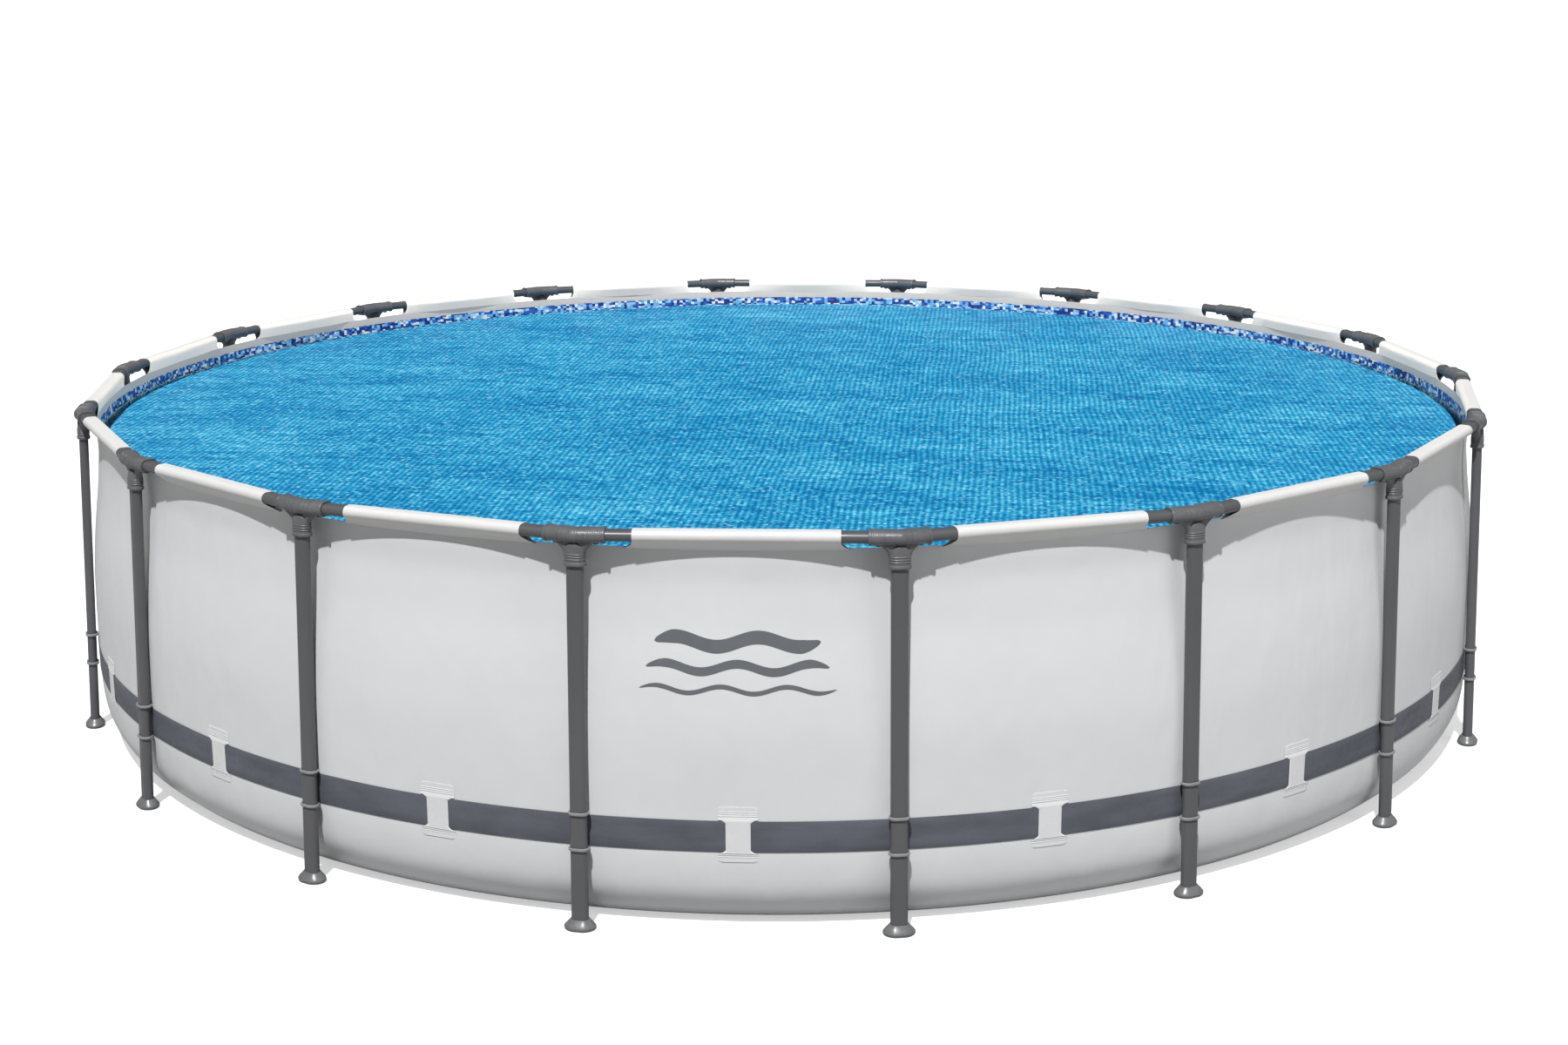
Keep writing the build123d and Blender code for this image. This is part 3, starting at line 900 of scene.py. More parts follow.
# ---------------------------------------------------------------- sub-assemblies
@dataclass
class SubAssembly:
    """What every sub-assembly shares: the layout, the finishes and the ring of bays."""

    layout: PoolLayout
    wardrobe: Wardrobe
    ring: RingTree

    def all_round(
        self, made: bpy.types.Mesh, name: str, finish: bpy.types.Material, start: float = 0.0
    ) -> bpy.types.Object:
        """Set one bay's piece round the whole basin.

        Args:
            made: The piece, at azimuth 0.
            name: Name of the result.
            finish: Its material.
            start: Angle of the first copy, in radians.

        Returns:
            The finished piece.
        """
        piece = object_from(name, made)
        self.ring.apply(piece, finish, self.layout.bays, start, self.layout.step)
        return piece

    def at_legs(
        self, made: bpy.types.Mesh, stem: str, finish: bpy.types.Material, slot: str, node: str
    ) -> None:
        """Set one copy of a piece at every leg, each a piece of its own.

        Args:
            made: The piece, at azimuth 0.
            stem: Start of the pieces' names.
            finish: Their material.
            slot: The record's material slot.
            node: Start of the names of the CAD nodes that they replace.
        """
        made.materials.clear()
        for place in range(self.layout.bays):
            copy = made.copy()
            copy.transform(Matrix.Rotation(place * self.layout.step, 4, "Z"))
            piece = object_from(f"{stem}_{place + 1:02d}", copy, finish)
            self.declare(piece, slot, f"{node}_{place + 1:02d}")

    def declare(self, piece: bpy.types.Object, slot: str, *nodes: str, body: str = "pool") -> None:
        """Hang a piece on its body and hide the nodes it stands for.

        Args:
            piece: The finished piece.
            slot: Not used.
            nodes: CAD nodes that it replaces.
            body: The body that it rides on.
        """
        if nodes:
            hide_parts(*nodes)
        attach(piece, body)
        log.info("%s: %d faces on %s", piece.name, len(piece.data.polygons), body)

    def leg_point(self, ring: np.ndarray, down: object) -> np.ndarray:
        """Points given along the axes of the leg at azimuth 0.

        Args:
            ring: Distances along the tangent and inwards, square to the leg.
            down: Distance down the leg from the corner.

        Returns:
            Points in the frame.
        """
        sine, cosine = math.sin(self.layout.splay), math.cos(self.layout.splay)
        out = self.layout.corner_radius - ring[:, 1] * cosine + down * sine
        up = self.layout.rail_height - ring[:, 1] * sine - down * cosine
        return np.stack([out, ring[:, 0], up], -1)


@dataclass
class SteelFrame(SubAssembly):
    """Legs and top rails, of flat oval steel tube."""

    tube_wall: float = 0.0015
    leg_top: float = 0.047
    leg_bottom_gap: float = 0.009
    rail_start: float = 0.010

    def tube(self, at: Callable[[np.ndarray, float], np.ndarray], low: float, high: float) -> bpy.types.Mesh:
        """A hollow length of tube.

        Args:
            at: Gives a section's points for its outline and its place along the tube.
            low: Place of the first end.
            high: Place of the other end.

        Returns:
            The closed mesh.
        """
        outer, inner = (
            stadium(self.layout.tube_width - 2 * inset, self.layout.tube_depth - 2 * inset, 18)
            for inset in (0.0, self.tube_wall)
        )
        stations = np.linspace(low, high, 9)
        rows = [at(outer, s) for s in stations] + [at(inner, s) for s in stations[::-1]]
        return Shell().hoop(rows).mesh("tube")

    def rail_at(self, ring: np.ndarray, along: float) -> np.ndarray:
        """A rail's section at a place along it."""
        out = self.layout.mid_bay_radius + ring[:, 0]
        return np.stack([out, np.full(len(ring), along), self.layout.rail_height + ring[:, 1]], -1)

    def build(self) -> None:
        """Make the legs, one by one, and the rails in one ring."""
        leg = self.tube(self.leg_point, self.leg_top, self.layout.leg_length - self.leg_bottom_gap)
        self.at_legs(leg, "steel_leg", self.wardrobe.steel, "steel_tube", "leg")
        half = self.layout.chord / 2 - self.rail_start
        rail = self.tube(self.rail_at, -half, half)
        rails = self.all_round(rail, "steel_rails", self.wardrobe.steel, self.layout.step / 2)
        self.declare(rails, "steel_tube", "top_rails")


@dataclass
class Connectors(SubAssembly):
    """Moulded T connectors, with ribs, end collars and small raised marks."""

    row: RowTree = None
    wall: float = 0.0047
    clearance: float = 0.0003
    arm: float = 0.090
    mitre_fade: float = 0.030
    ribs: tuple[float, ...] = (0.0125, 0.0275, 0.0405)
    rib_rise: float = 0.0012
    rib_width: float = 0.0028
    rib_slope: float = 0.0006
    collar_start: float = 0.0815
    collar_rise: float = 0.0024
    neck_top: float = 0.0178
    neck_foot: float = 0.046
    neck_mouth: float = 0.091
    neck_ridges: tuple[float, ...] = (0.056, 0.0635, 0.071)
    ridge_rise: float = 0.0024
    rim_height: float = 0.0095
    rim_rise: float = 0.0044
    socket_top: float = 0.045
    socket_overrun: float = 0.01
    webs: tuple[tuple[float, float, float], ...] = (
        (0.0178, 0.132, 0.024),
        (0.0225, 0.118, 0.024),
        (0.0285, 0.101, 0.024),
        (0.0355, 0.0855, 0.024),
        (0.0435, 0.0735, 0.025),
        (0.0535, 0.0660, 0.027),
        (0.064, 0.0605, 0.030),
    )
    crease: float = 26.0
    mark_size: Colour = (0.0021, 0.0105, 0.0018)
    mark_bevel: float = 0.0004
    mark_tilt: float = math.radians(48.0)
    mark_rows: tuple[tuple[int, float, float, float], ...] = (
        (5, 0.0475, 0.0072, math.radians(18.0)),
        (2, 0.0040, 0.0065, 0.0),
    )

    def outer(self, wall: float) -> tuple[float, float]:
        """Width and depth of the plastic round a tube, by its wall."""
        grown = 2 * (self.clearance + wall)
        return self.layout.tube_width + grown, self.layout.tube_depth + grown

    def section(self, ring: np.ndarray, along: float) -> np.ndarray:
        """A section of one arm, mitred at the corner and square further out.

        Args:
            ring: Outline, first coordinate outwards and second up.
            along: Place along the arm, negative on the other arm.

        Returns:
            Points in the frame.
        """
        half = self.layout.step / 2
        side = 1.0 if along >= 0 else -1.0
        out, up = ring[:, 0], ring[:, 1]
        far = abs(along) - out * math.tan(half) * max(0.0, 1 - abs(along) / self.mitre_fade)
        x = self.layout.corner_radius + out * math.cos(half) - far * math.sin(half)
        y = side * (out * math.sin(half) + far * math.cos(half))
        return np.stack([x, y, self.layout.rail_height + up], -1)

    def barrel(self) -> bpy.types.Object:
        """The two arms with their ribs and collars, open from end to end.

        Returns:
            The object.
        """
        width, depth = self.outer(self.wall)
        rise, bore = self.collar_rise, -self.wall
        profile = [(0.0, 0.0), (0.006, 0.0)]
        for rib in self.ribs:
            profile += [(rib, 0.0), (rib + self.rib_slope, self.rib_rise)]
            profile += [(rib + self.rib_width - self.rib_slope, self.rib_rise), (rib + self.rib_width, 0.0)]
        start, end = self.collar_start, self.arm
        profile += [(0.060, 0.0), (start, 0.0), (start + 0.0009, rise * 0.8), (start + 0.0017, rise)]
        profile += [(end - 0.0016, rise), (end - 0.0005, rise * 0.8), (end, 0.001)]
        profile += [(end, bore + 0.0008), (end - 0.001, bore), (0.050, bore), (0.0, bore)]
        back = [(-s, r) for s, r in reversed(profile[1:-1])]
        rows = [self.section(stadium(width + 2 * r, depth + 2 * r, 14), s) for s, r in profile + back]
        return object_from("connector_barrel", Shell().hoop(rows).mesh("connector_barrel"))

    def neck_part(self, profile: Sequence[tuple[float, float, float]]) -> bpy.types.Object:
        """A closed part of the neck, by places down the leg, whole widths and whole depths."""
        rows = [self.leg_point(stadium(width, min(depth, width), 12), down) for down, width, depth in profile]
        return object_from("neck_part", Shell().solid(rows).mesh("neck_part"))

    def collar(self) -> list[tuple[float, float, float]]:
        """Profile of the neck's arched shoulder, its ridges and the rim at its mouth.

        Returns:
            Places down the leg with the widths and the depths.
        """
        width, depth = self.outer(self.wall)
        line = []
        for share in np.linspace(0.12, 1.0, 8):
            down = self.neck_foot - (self.neck_foot - self.neck_top) * math.sqrt(1 - share**2)
            line.append((down, width * share, depth * (0.80 + 0.18 * share)))

        def step(down: float, rise: float) -> None:
            """Add a section that stands out all round."""
            line.append((down, width + rise, depth + rise))

        for ridge in self.neck_ridges:
            for offset, rise in ((-0.0022, 0), (-0.0008, 1), (0.0008, 1), (0.0022, 0)):
                step(ridge + offset, rise * self.ridge_rise)
        rim, mouth = self.neck_mouth - self.rim_height, self.neck_mouth
        for down, rise in ((rim - 0.001, 0.0), (rim + 0.0006, 0.0034), (rim + 0.0024, self.rim_rise)):
            step(down, rise)
        for down, rise in ((mouth - 0.0022, self.rim_rise), (mouth - 0.0006, 0.0032), (mouth, 0.0010)):
            step(down, rise)
        return line

    def mark_row(self, side: int, count: int, first: float, pitch: float, slant: float) -> bpy.types.Object:
        """A row of small slanted raised marks on the outer shoulder of an arm.

        Args:
            side: 1 or -1, for the arm.
            count: How many marks.
            first: Place of the first along the arm.
            pitch: From one mark to the next.
            slant: Turn of each mark, in radians.

        Returns:
            The row.
        """
        work = bmesh.new()
        bmesh.ops.create_cube(work, size=1.0)
        work.transform(Matrix.Diagonal((*self.mark_size, 1.0)))
        bmesh.ops.bevel(work, geom=work.edges[:], offset=self.mark_bevel, segments=1, affect="EDGES")
        work.transform(Matrix.Rotation(slant, 4, "Z"))
        bar = bpy.data.meshes.new("mark")
        work.to_mesh(bar)
        work.free()
        piece = object_from("mark_row", bar)
        self.row.apply(piece, self.wardrobe.connector, count, first, pitch)
        half, tilt = self.layout.step / 2, self.mark_tilt
        depth = self.outer(self.wall)[1]
        reach = (self.layout.tube_width - self.layout.tube_depth) / 2
        arm = Vector((-math.sin(half), side * math.cos(half), 0.0))
        outward = Vector((math.cos(half), side * math.sin(half), 0.0))
        upward = Vector((0.0, 0.0, 1.0))
        lift = outward * math.cos(tilt) + upward * math.sin(tilt)
        place = Matrix((arm, lift.cross(arm), lift)).transposed().to_4x4()
        corner = Vector((self.layout.corner_radius, 0.0, self.layout.rail_height))
        place.translation = corner + outward * reach + lift * depth / 2
        piece.data.transform(place)
        return piece

    def build(self) -> None:
        """Join the parts of one connector and set it on every corner."""
        body = self.barrel()
        combine(body, self.neck_part(self.webs), Joining.ADD)
        combine(body, self.neck_part(self.collar()), Joining.ADD)
        for marks in self.mark_rows:
            for side in (1, -1):
                combine(body, self.mark_row(side, *marks), Joining.ADD)
        bore = self.outer(0.0)
        socket = [(self.socket_top, *bore), (self.neck_mouth + self.socket_overrun, *bore)]
        combine(body, self.neck_part(socket), Joining.CUT)
        soften(body.data, self.crease)
        self.at_legs(body.data, "rail_connector", self.wardrobe.connector, "connector_plastic", "connector")
        bpy.data.objects.remove(body)


@dataclass
class FootCaps(SubAssembly):
    """Oval domed caps on the feet of the legs."""

    half_width: float = 0.0498
    half_depth: float = FOOT_HALF_DEPTH
    neck_wall: float = 0.004
    clearance: float = 0.0003
    crease: float = 50.0
    socket: tuple[float, ...] = (0.031, 0.026, 0.008)
    dome: tuple[tuple[float, float], ...] = (
        (0.0, 0.78),
        (0.0010, 0.86),
        (0.0030, 0.94),
        (0.0058, 0.99),
        (0.0080, 1.0),
        (0.0096, 0.985),
        (0.0120, 0.90),
        (0.0155, 0.75),
        (0.0190, 0.58),
        (0.0225, 0.40),
        (0.0262, 0.20),
        (0.031, 0.0),
    )

    def row(self, ring: np.ndarray, height: float, share: float = 0.0) -> np.ndarray:
        """A ring round the leg; the dome's share of its full oval takes away the leg's lean.

        Args:
            ring: Outline along the tangent and inwards.
            height: Height of the ring.
            share: How far the outline has grown to the full oval.

        Returns:
            Points in the frame.
        """
        lean = self.layout.spread * height / self.layout.rail_height * (1 - share)
        out = self.layout.foot_radius - ring[:, 1] - lean
        return np.stack([out, ring[:, 0], np.full(len(ring), height)], -1)

    def build(self) -> None:
        """Make one cap as a solid of ovals with a socket, and ring it."""
        neck, bore = (
            stadium(self.layout.tube_width + 2 * gap, self.layout.tube_depth + 2 * gap, 16)
            for gap in (self.neck_wall, self.clearance)
        )
        angles = np.arctan2(neck[:, 1] / self.half_depth, neck[:, 0] / self.half_width)
        oval = np.stack([self.half_width * np.cos(angles), self.half_depth * np.sin(angles)], -1)
        rows = [self.row(neck + (oval - neck) * share, height, share) for height, share in self.dome]
        rows += [self.row(bore, height) for height in self.socket]
        cap = Shell().solid(rows).mesh("foot_cap", self.crease)
        self.declare(self.all_round(cap, "leg_foot_caps", self.wardrobe.foot), "foot_plastic", "foot_caps")


@dataclass
class LegHoops(SubAssembly):
    """Moulded hoops, two round each leg, one over and one under the band."""

    gap: float = 0.0004
    wall: float = 0.0056
    height: float = 0.0098

    def build(self) -> None:
        """Sweep a rounded section round the leg at both heights."""
        layout = self.layout
        grown = 2 * self.gap + self.wall
        centre = stadium(layout.tube_width + grown, layout.tube_depth + grown, 18)
        ahead = np.roll(centre, -1, 0) - np.roll(centre, 1, 0)
        side = np.stack([ahead[:, 1], -ahead[:, 0]], -1) / np.linalg.norm(ahead, axis=1)[:, None]
        shell = Shell()
        for height in layout.hoops:
            down = (layout.rail_height - height) / math.cos(layout.splay)
            section = stadium(self.height, self.wall, 5)
            shell.hoop([self.leg_point(centre + side * thick, down + tall) for tall, thick in section])
        hoops = self.all_round(shell.mesh("hoop_pair"), "band_hoops", self.wardrobe.hoop)
        self.declare(hoops, "hoop_plastic", "leg_hoops")


@dataclass
class Liner(SubAssembly):
    """Wall, floor sheet and the sleeves that hang the wall from the rails."""

    skin: float = 0.0012
    columns_per_bay: int = 24
    rows: int = 72
    belly: float = 0.0032
    belly_height: float = 0.72
    belly_spread: float = 0.24
    belly_least: float = 0.12
    rim_start: float = 0.95
    rim_fade: float = 0.2
    ripple: float = 0.0016
    ripple_height: float = 0.10
    ripple_spread: float = 0.07
    floor_rings: int = 40
    floor_columns_per_bay: int = 8
    floor_lift: float = 0.0012
    floor_top: float = 0.0022
    floor_bottom: float = 0.0008
    floor_inset: float = 0.0008
    sleeve_gap: float = 0.0012
    sleeve_corner: float = 0.028
    sleeve_arc: int = 12
    weld_drop: float = 0.004
    weld_share: float = 1.6
    top_radius: float = 2.6555
    profile: tuple[tuple[float, float], ...] = (
        (0.0, 2.585),
        (0.012, 2.612),
        (0.03, 2.635),
        (0.06, 2.665),
        (0.12, 2.695),
        (0.20, 2.706),
        (0.30, 2.7065),
        (0.45, 2.706),
        (0.60, 2.7025),
        (0.72, 2.693),
        (0.815, 2.682),
        (0.91, 2.669),
        (0.99, 2.6605),
        (1.06, 2.6545),
        (1.12, 2.655),
    )

    def outline(self) -> np.ndarray:
        """Height and radius of the wall's outside, from the ground to its top edge."""
        return smooth_line([*self.profile, (self.layout.wall_top, self.top_radius)], self.rows)

    def bulge(self, angle: np.ndarray, height: float) -> np.ndarray:
        """How far the water pushes the wall out between its legs.

        Args:
            angle: Azimuths in radians.
            height: Height in metres.

        Returns:
            The distance for each azimuth.
        """
        middle = 0.5 - 0.5 * np.cos(angle * self.layout.bays)
        ease = math.exp(-(((height - self.belly_height) / self.belly_spread) ** 2)) + self.belly_least
        rim = max(0.0, 1 - max(0.0, height - self.rim_start) / self.rim_fade)
        low = math.exp(-(((height - self.ripple_height) / self.ripple_spread) ** 2))
        places = [Vector((math.cos(a) * 9, math.sin(a) * 9, height * 5)) for a in angle]
        ripple = np.array([noise.noise(place) for place in places])
        return self.belly * middle * ease * rim + self.ripple * ripple * low

    def build_wall(self) -> bpy.types.Object:
        """Make the wall as one closed skin, white outside and printed inside.

        Returns:
            The wall.
        """
        layout = self.layout
        columns = layout.bays * self.columns_per_bay
        angle = np.arange(columns) * TURN / columns
        outline = self.outline()
        tangent = np.gradient(outline, axis=0)
        tangent /= np.linalg.norm(tangent, axis=1)[:, None]
        last = len(outline) - 1
        rows = [around(radius + self.bulge(angle, height), angle, height) for height, radius in outline]
        for i in range(last, -1, -1):
            height, radius = outline[i]
            depth = self.skin * (2 if height > layout.wall_top - HEM_DROP else 1)
            inner_height = height if i == last else height + depth * max(tangent[i, 1], 0.0)
            reach = radius - depth * abs(tangent[i, 0]) + self.bulge(angle, height)
            rows.append(around(reach, angle, inner_height))
        length = TURN * GIRTH_RADIUS
        heights = outline[:, 0]
        uv = flat_map(np.linspace(0, length, columns + 1), np.array([*heights, *heights[::-1], heights[0]]))
        shell = Shell().hoop(rows, uv, slot=lambda row: 0 if row <= last else 1)
        made = shell.mesh("liner_wall_skin", SHEET_CREASE)
        wall = object_from("liner_wall_skin", made, self.wardrobe.wall, self.wardrobe.inside)
        self.declare(wall, "liner_white", "liner_wall")
        return wall

    def build_floor(self) -> None:
        """Make the floor sheet, laid on the ground and welded inside the wall's foot."""
        radius = self.profile[0][1] - self.floor_inset
        columns = self.layout.bays * self.floor_columns_per_bay
        angle = np.arange(columns) * TURN / columns
        rings = self.floor_rings
        rows = []
        faces = (self.floor_top, range(1, rings + 1)), (self.floor_bottom, range(rings, 0, -1))
        for level, order in faces:
            for k in order:
                row = around(radius * k / rings, angle, level)
                if k < rings:
                    row[:, 2] += [
                        self.floor_lift * (0.5 + noise.noise(Vector((x * 3, y * 3, 0.0)))) for x, y, _ in row
                    ]
                rows.append(row)
        made = Shell().solid(rows).mesh("liner_floor_sheet")
        floor = object_from("liner_floor_sheet", made, self.wardrobe.floor)
        self.declare(floor, "liner_floor", "liner_floor")

    def sleeve_outline(self, across: float, shrink: float) -> np.ndarray:
        """Section of a sleeve: over the rail and down to the wall's top edge.

        Args:
            across: Place along the rail from the middle of the bay.
            shrink: How far this layer lies inside the outer face.

        Returns:
            Closed outline as distance out from the rail axis and height.
        """
        layout = self.layout
        reach = (layout.tube_width - layout.tube_depth) / 2
        radius = layout.tube_depth / 2 + self.sleeve_gap + self.skin - shrink
        weld_out = math.sqrt(self.top_radius**2 - across**2) - layout.mid_bay_radius - self.skin
        weld_up = layout.wall_top - layout.rail_height - self.weld_drop
        half_weld = self.skin * self.weld_share - shrink
        turns = []
        for centre, side in ((reach, 1.0), (-reach, -1.0)):
            base = np.array([weld_out + side * half_weld - centre, weld_up])
            lean = math.acos(min(1.0, radius / float(np.hypot(*base))))
            heading = math.atan2(base[1], base[0]) + side * lean
            top = math.pi / 2
            start, end = (heading, top) if side > 0 else (top, heading % TURN)
            angles = np.linspace(start, end, self.sleeve_arc)
            turns += [(centre + radius * math.cos(a), radius * math.sin(a)) for a in angles]
        feet = [np.array((weld_out + side * half_weld, weld_up)) for side in (1.0, -1.0)]
        right = [feet[0] * (1 - t) + np.array(turns[0]) * t for t in (0.0, 0.33, 0.67)]
        left = [np.array(turns[-1]) * (1 - t) + feet[1] * t for t in (0.33, 0.67, 1.0)]
        return np.array([*right, *turns, *left])

    def sleeve_layer(self, stations: np.ndarray, shrink: float) -> list[np.ndarray]:
        """The rows of one face of a sleeve.

        Args:
            stations: Places along it, from -1 to 1.
            shrink: How far this face lies inside the outer one.

        Returns:
            A row of points for each station.
        """
        layout, corner = self.layout, self.sleeve_corner
        half = layout.chord / 2
        rows = []
        for share in stations:
            outline = self.sleeve_outline(share * (half - layout.slot_half), shrink)
            height = layout.rail_height + outline[:, 1]
            rise = np.clip(height - layout.wall_top, 0, corner)
            slot_end = layout.slot_half - corner + np.sqrt(corner**2 - (corner - rise) ** 2)
            out = layout.mid_bay_radius + outline[:, 0]
            rows.append(np.stack([out, share * (half - slot_end), height], -1))
        return rows

    def build_sleeves(self) -> bpy.types.Object:
        """Make one sleeve, cut round at its lower corners, and ring it.

        Returns:
            The ring of sleeves.
        """
        layout = self.layout
        stations = np.concatenate([[-1.0, -0.985, -0.96], np.linspace(-0.9, 0.9, 15), [0.96, 0.985, 1.0]])
        rows = self.sleeve_layer(stations, 0.0) + self.sleeve_layer(stations, self.skin)[::-1]
        span = layout.chord - 2 * layout.slot_half
        steps = np.linalg.norm(np.diff(rows[0], axis=0), axis=1)
        v = np.concatenate([stations, stations[::-1], stations[:1]]) * span / 2
        uv = flat_map(np.concatenate([[0], np.cumsum(steps), [0.2]]), v)
        made = Shell().hoop(rows, uv).mesh("sleeve", SHEET_CREASE)
        sleeves = self.all_round(made, "sleeves", self.wardrobe.sleeve, layout.step / 2)
        self.declare(sleeves, "liner_white", "rail_sleeves")
        return sleeves


@dataclass
class Restraint(SubAssembly):
    """The band round the wall and the welded loops that hold it."""

    radius: float = 2.7074
    thickness: float = 0.0022
    edge: float = 0.0012
    wander: float = 0.0012
    end_width: float = 0.119
    waist_width: float = 0.074
    end_round: float = 0.006
    shoulder: float = 0.011
    end_margin: float = 0.004
    columns_per_bay: int = 24
    loop_thickness: float = 0.0014
    loop_over_band: float = 0.0022
    loop_on_wall: float = 0.0016
    loop_slope: float = 0.012
    welds: tuple[float, ...] = (0.016, 0.022, 0.028)
    weld_rise: float = 0.0011
    weld_spread: float = 0.0014
    weld_zone: float = 0.036

    def build_band(self) -> None:
        """Make the band as one closed strap."""
        low, high = self.layout.band
        columns = self.layout.bays * self.columns_per_bay
        angle = np.arange(columns) * TURN / columns
        height, thick = high - low, self.thickness
        face = [(thick * 0.3, 0.0), (thick * 0.8, 0.0), (thick, self.edge)]
        face += [(thick, height * t) for t in (0.25, 0.5, 0.75)]
        face += [(thick, height - self.edge), (thick * 0.8, height), (thick * 0.3, height)]
        back = [(0.0, height - self.edge)] + [(0.0, height * t) for t in (0.75, 0.5, 0.25)]
        section = [(0.0, self.edge), *face, *back]
        bends = [self.wander * noise.noise(Vector((math.cos(a) * 5, math.sin(a) * 5, 3.0))) for a in angle]
        rows = [around(self.radius + out, angle, low + up + np.array(bends)) for out, up in section]
        length = TURN * self.radius
        v = np.array([up for _, up in [*section, section[0]]])
        made = Shell().hoop(rows, flat_map(np.linspace(0, length, columns + 1), v)).mesh("band_strap")
        band = object_from("band_strap", made, self.wardrobe.band)
        self.declare(band, "band_grey", "restraint_band")

    def loop_half_width(self, height: float) -> float:
        """Half width of a loop at a height: wide welded ends and a narrow waist.

        Args:
            height: The height.

        Returns:
            Half the width there.
        """
        low, high = self.layout.band[0] - self.end_margin, self.layout.band[1] + self.end_margin
        wide, slim = self.end_width / 2, self.waist_width / 2
        if max(low - height, height - high) > 0:
            edge = min(height - self.layout.loop[0], self.layout.loop[1] - height)
            return wide - self.end_round * (1 - min(1.0, edge / self.end_round)) ** 2
        inside = min(1.0, min(height - low, high - height) / self.shoulder)
        return wide - (wide - slim) * math.sqrt(inside)

    def loop_lift(self, height: float) -> float:
        """How far a loop's outer face stands off the wall at a height.

        Args:
            height: The height.

        Returns:
            The distance, with the ridges of the welds.
        """
        low, high = self.layout.band
        beyond = abs(height - (low + high) / 2) - (high - low) / 2
        over, rest = self.thickness + self.loop_over_band, self.loop_on_wall
        rise = over if beyond < 0 else over - (over - rest) * min(1.0, beyond / self.loop_slope)
        for weld in self.welds:
            for line in (self.layout.loop[0] + weld, self.layout.loop[1] - weld):
                rise += self.weld_rise * math.exp(-(((height - line) / self.weld_spread) ** 2))
        return rise

    def build_loops(self) -> None:
        """Make one loop, ridged at its welds, and ring it."""
        layout = self.layout
        (low, high), (foot, top) = layout.band, layout.loop
        weld, bend = np.linspace(0, self.weld_zone, 25), np.linspace(0, self.shoulder, 8)
        places = [np.linspace(foot, top, 40), foot + weld, top - weld]
        places += [low - self.end_margin + bend, high + self.end_margin - bend]
        across = np.linspace(-1, 1, 17)
        thin = 1 - 0.0005 * (np.abs(across) > 0.99)
        rings = []
        for height in np.unique(np.round(np.concatenate(places), 4)):
            lift = self.loop_lift(float(height))
            angle = across * self.loop_half_width(float(height)) / self.radius
            front = around((self.radius + lift) * thin, angle, height)
            back = around(self.radius + lift - self.loop_thickness, angle, height)
            rings.append(np.concatenate([front, back[::-1]]))
        shell = Shell()
        index = shell.grid(np.stack(rings), wrap_columns=True)
        last = 2 * len(across) - 1
        for row in (index[0], index[-1]):
            for k in range(len(across) - 1):
                shell.face((row[k], row[k + 1], row[last - 1 - k], row[last - k]))
        loops = self.all_round(shell.mesh("loop"), "strap_loops", self.wardrobe.loop, layout.step / 2)
        self.declare(loops, "loop_white", "band_loops")


@dataclass
class SolarCover(SubAssembly):
    """The floating disc of bubble film."""

    cells: int = 188
    film: float = 0.0030
    swell: float = 0.0026
    ripple: float = 0.0011
    edge_gap: float = 0.001
    top_gap: float = 0.003

    def height(self, x: float, y: float) -> float:
        """Rise of the film over its mean at a place.

        Args:
            x: The place's first coordinate.
            y: Its second coordinate.

        Returns:
            The rise in metres.
        """
        long_fold = noise.noise(Vector((x * 0.9 + 3.1, y * 2.3, 0.4)))
        fold = 1 - abs(noise.noise(Vector((x * 1.7, y * 4.6, 5.0)))) * 2
        small = noise.noise(Vector((x * 8.0, y * 12.0, 9.0)))
        broad = 0.6 * long_fold + 0.4 * fold * noise.noise(Vector((x * 0.6, y * 0.6, 7.0)))
        return self.swell * broad + self.ripple * small

    def build(self) -> None:
        """Make the disc from an even grid, with shallow folds, top and underside."""
        side = np.linspace(-1, 1, self.cells + 1)
        a, b = np.meshgrid(side, side)
        wide = np.abs(a) > np.abs(b)
        with np.errstate(divide="ignore", invalid="ignore"):
            angle = np.where(wide, (math.pi / 4) * (b / a), math.pi / 2 - (math.pi / 4) * (a / b))
        angle = np.nan_to_num(angle, nan=0.0)
        radius = self.layout.cover_radius - self.edge_gap
        reach = radius * np.where(wide, a, b)
        x, y = reach * np.cos(angle), reach * np.sin(angle)
        top = self.layout.cover_top - self.top_gap + np.vectorize(self.height)(x, y)
        shell = Shell()
        above, below = (
            shell.grid(np.stack([x, y, top - drop], -1), uv=np.stack([x, y], -1)) for drop in (0.0, self.film)
        )

        def border(index: np.ndarray) -> list[int]:
            """The outer ring of a square grid, in order."""
            return [*index[0, :-1], *index[:-1, -1], *index[-1, :0:-1], *index[:0:-1, 0]]

        up, down = border(above), border(below)
        for k in range(len(up)):
            n = (k + 1) % len(up)
            shell.face((up[k], up[n], down[n], down[k]))
        cover = object_from("solar_cover_film", shell.mesh("solar_cover_film"), self.wardrobe.film)
        self.declare(cover, "cover_blue", "solar_cover", body="cover")


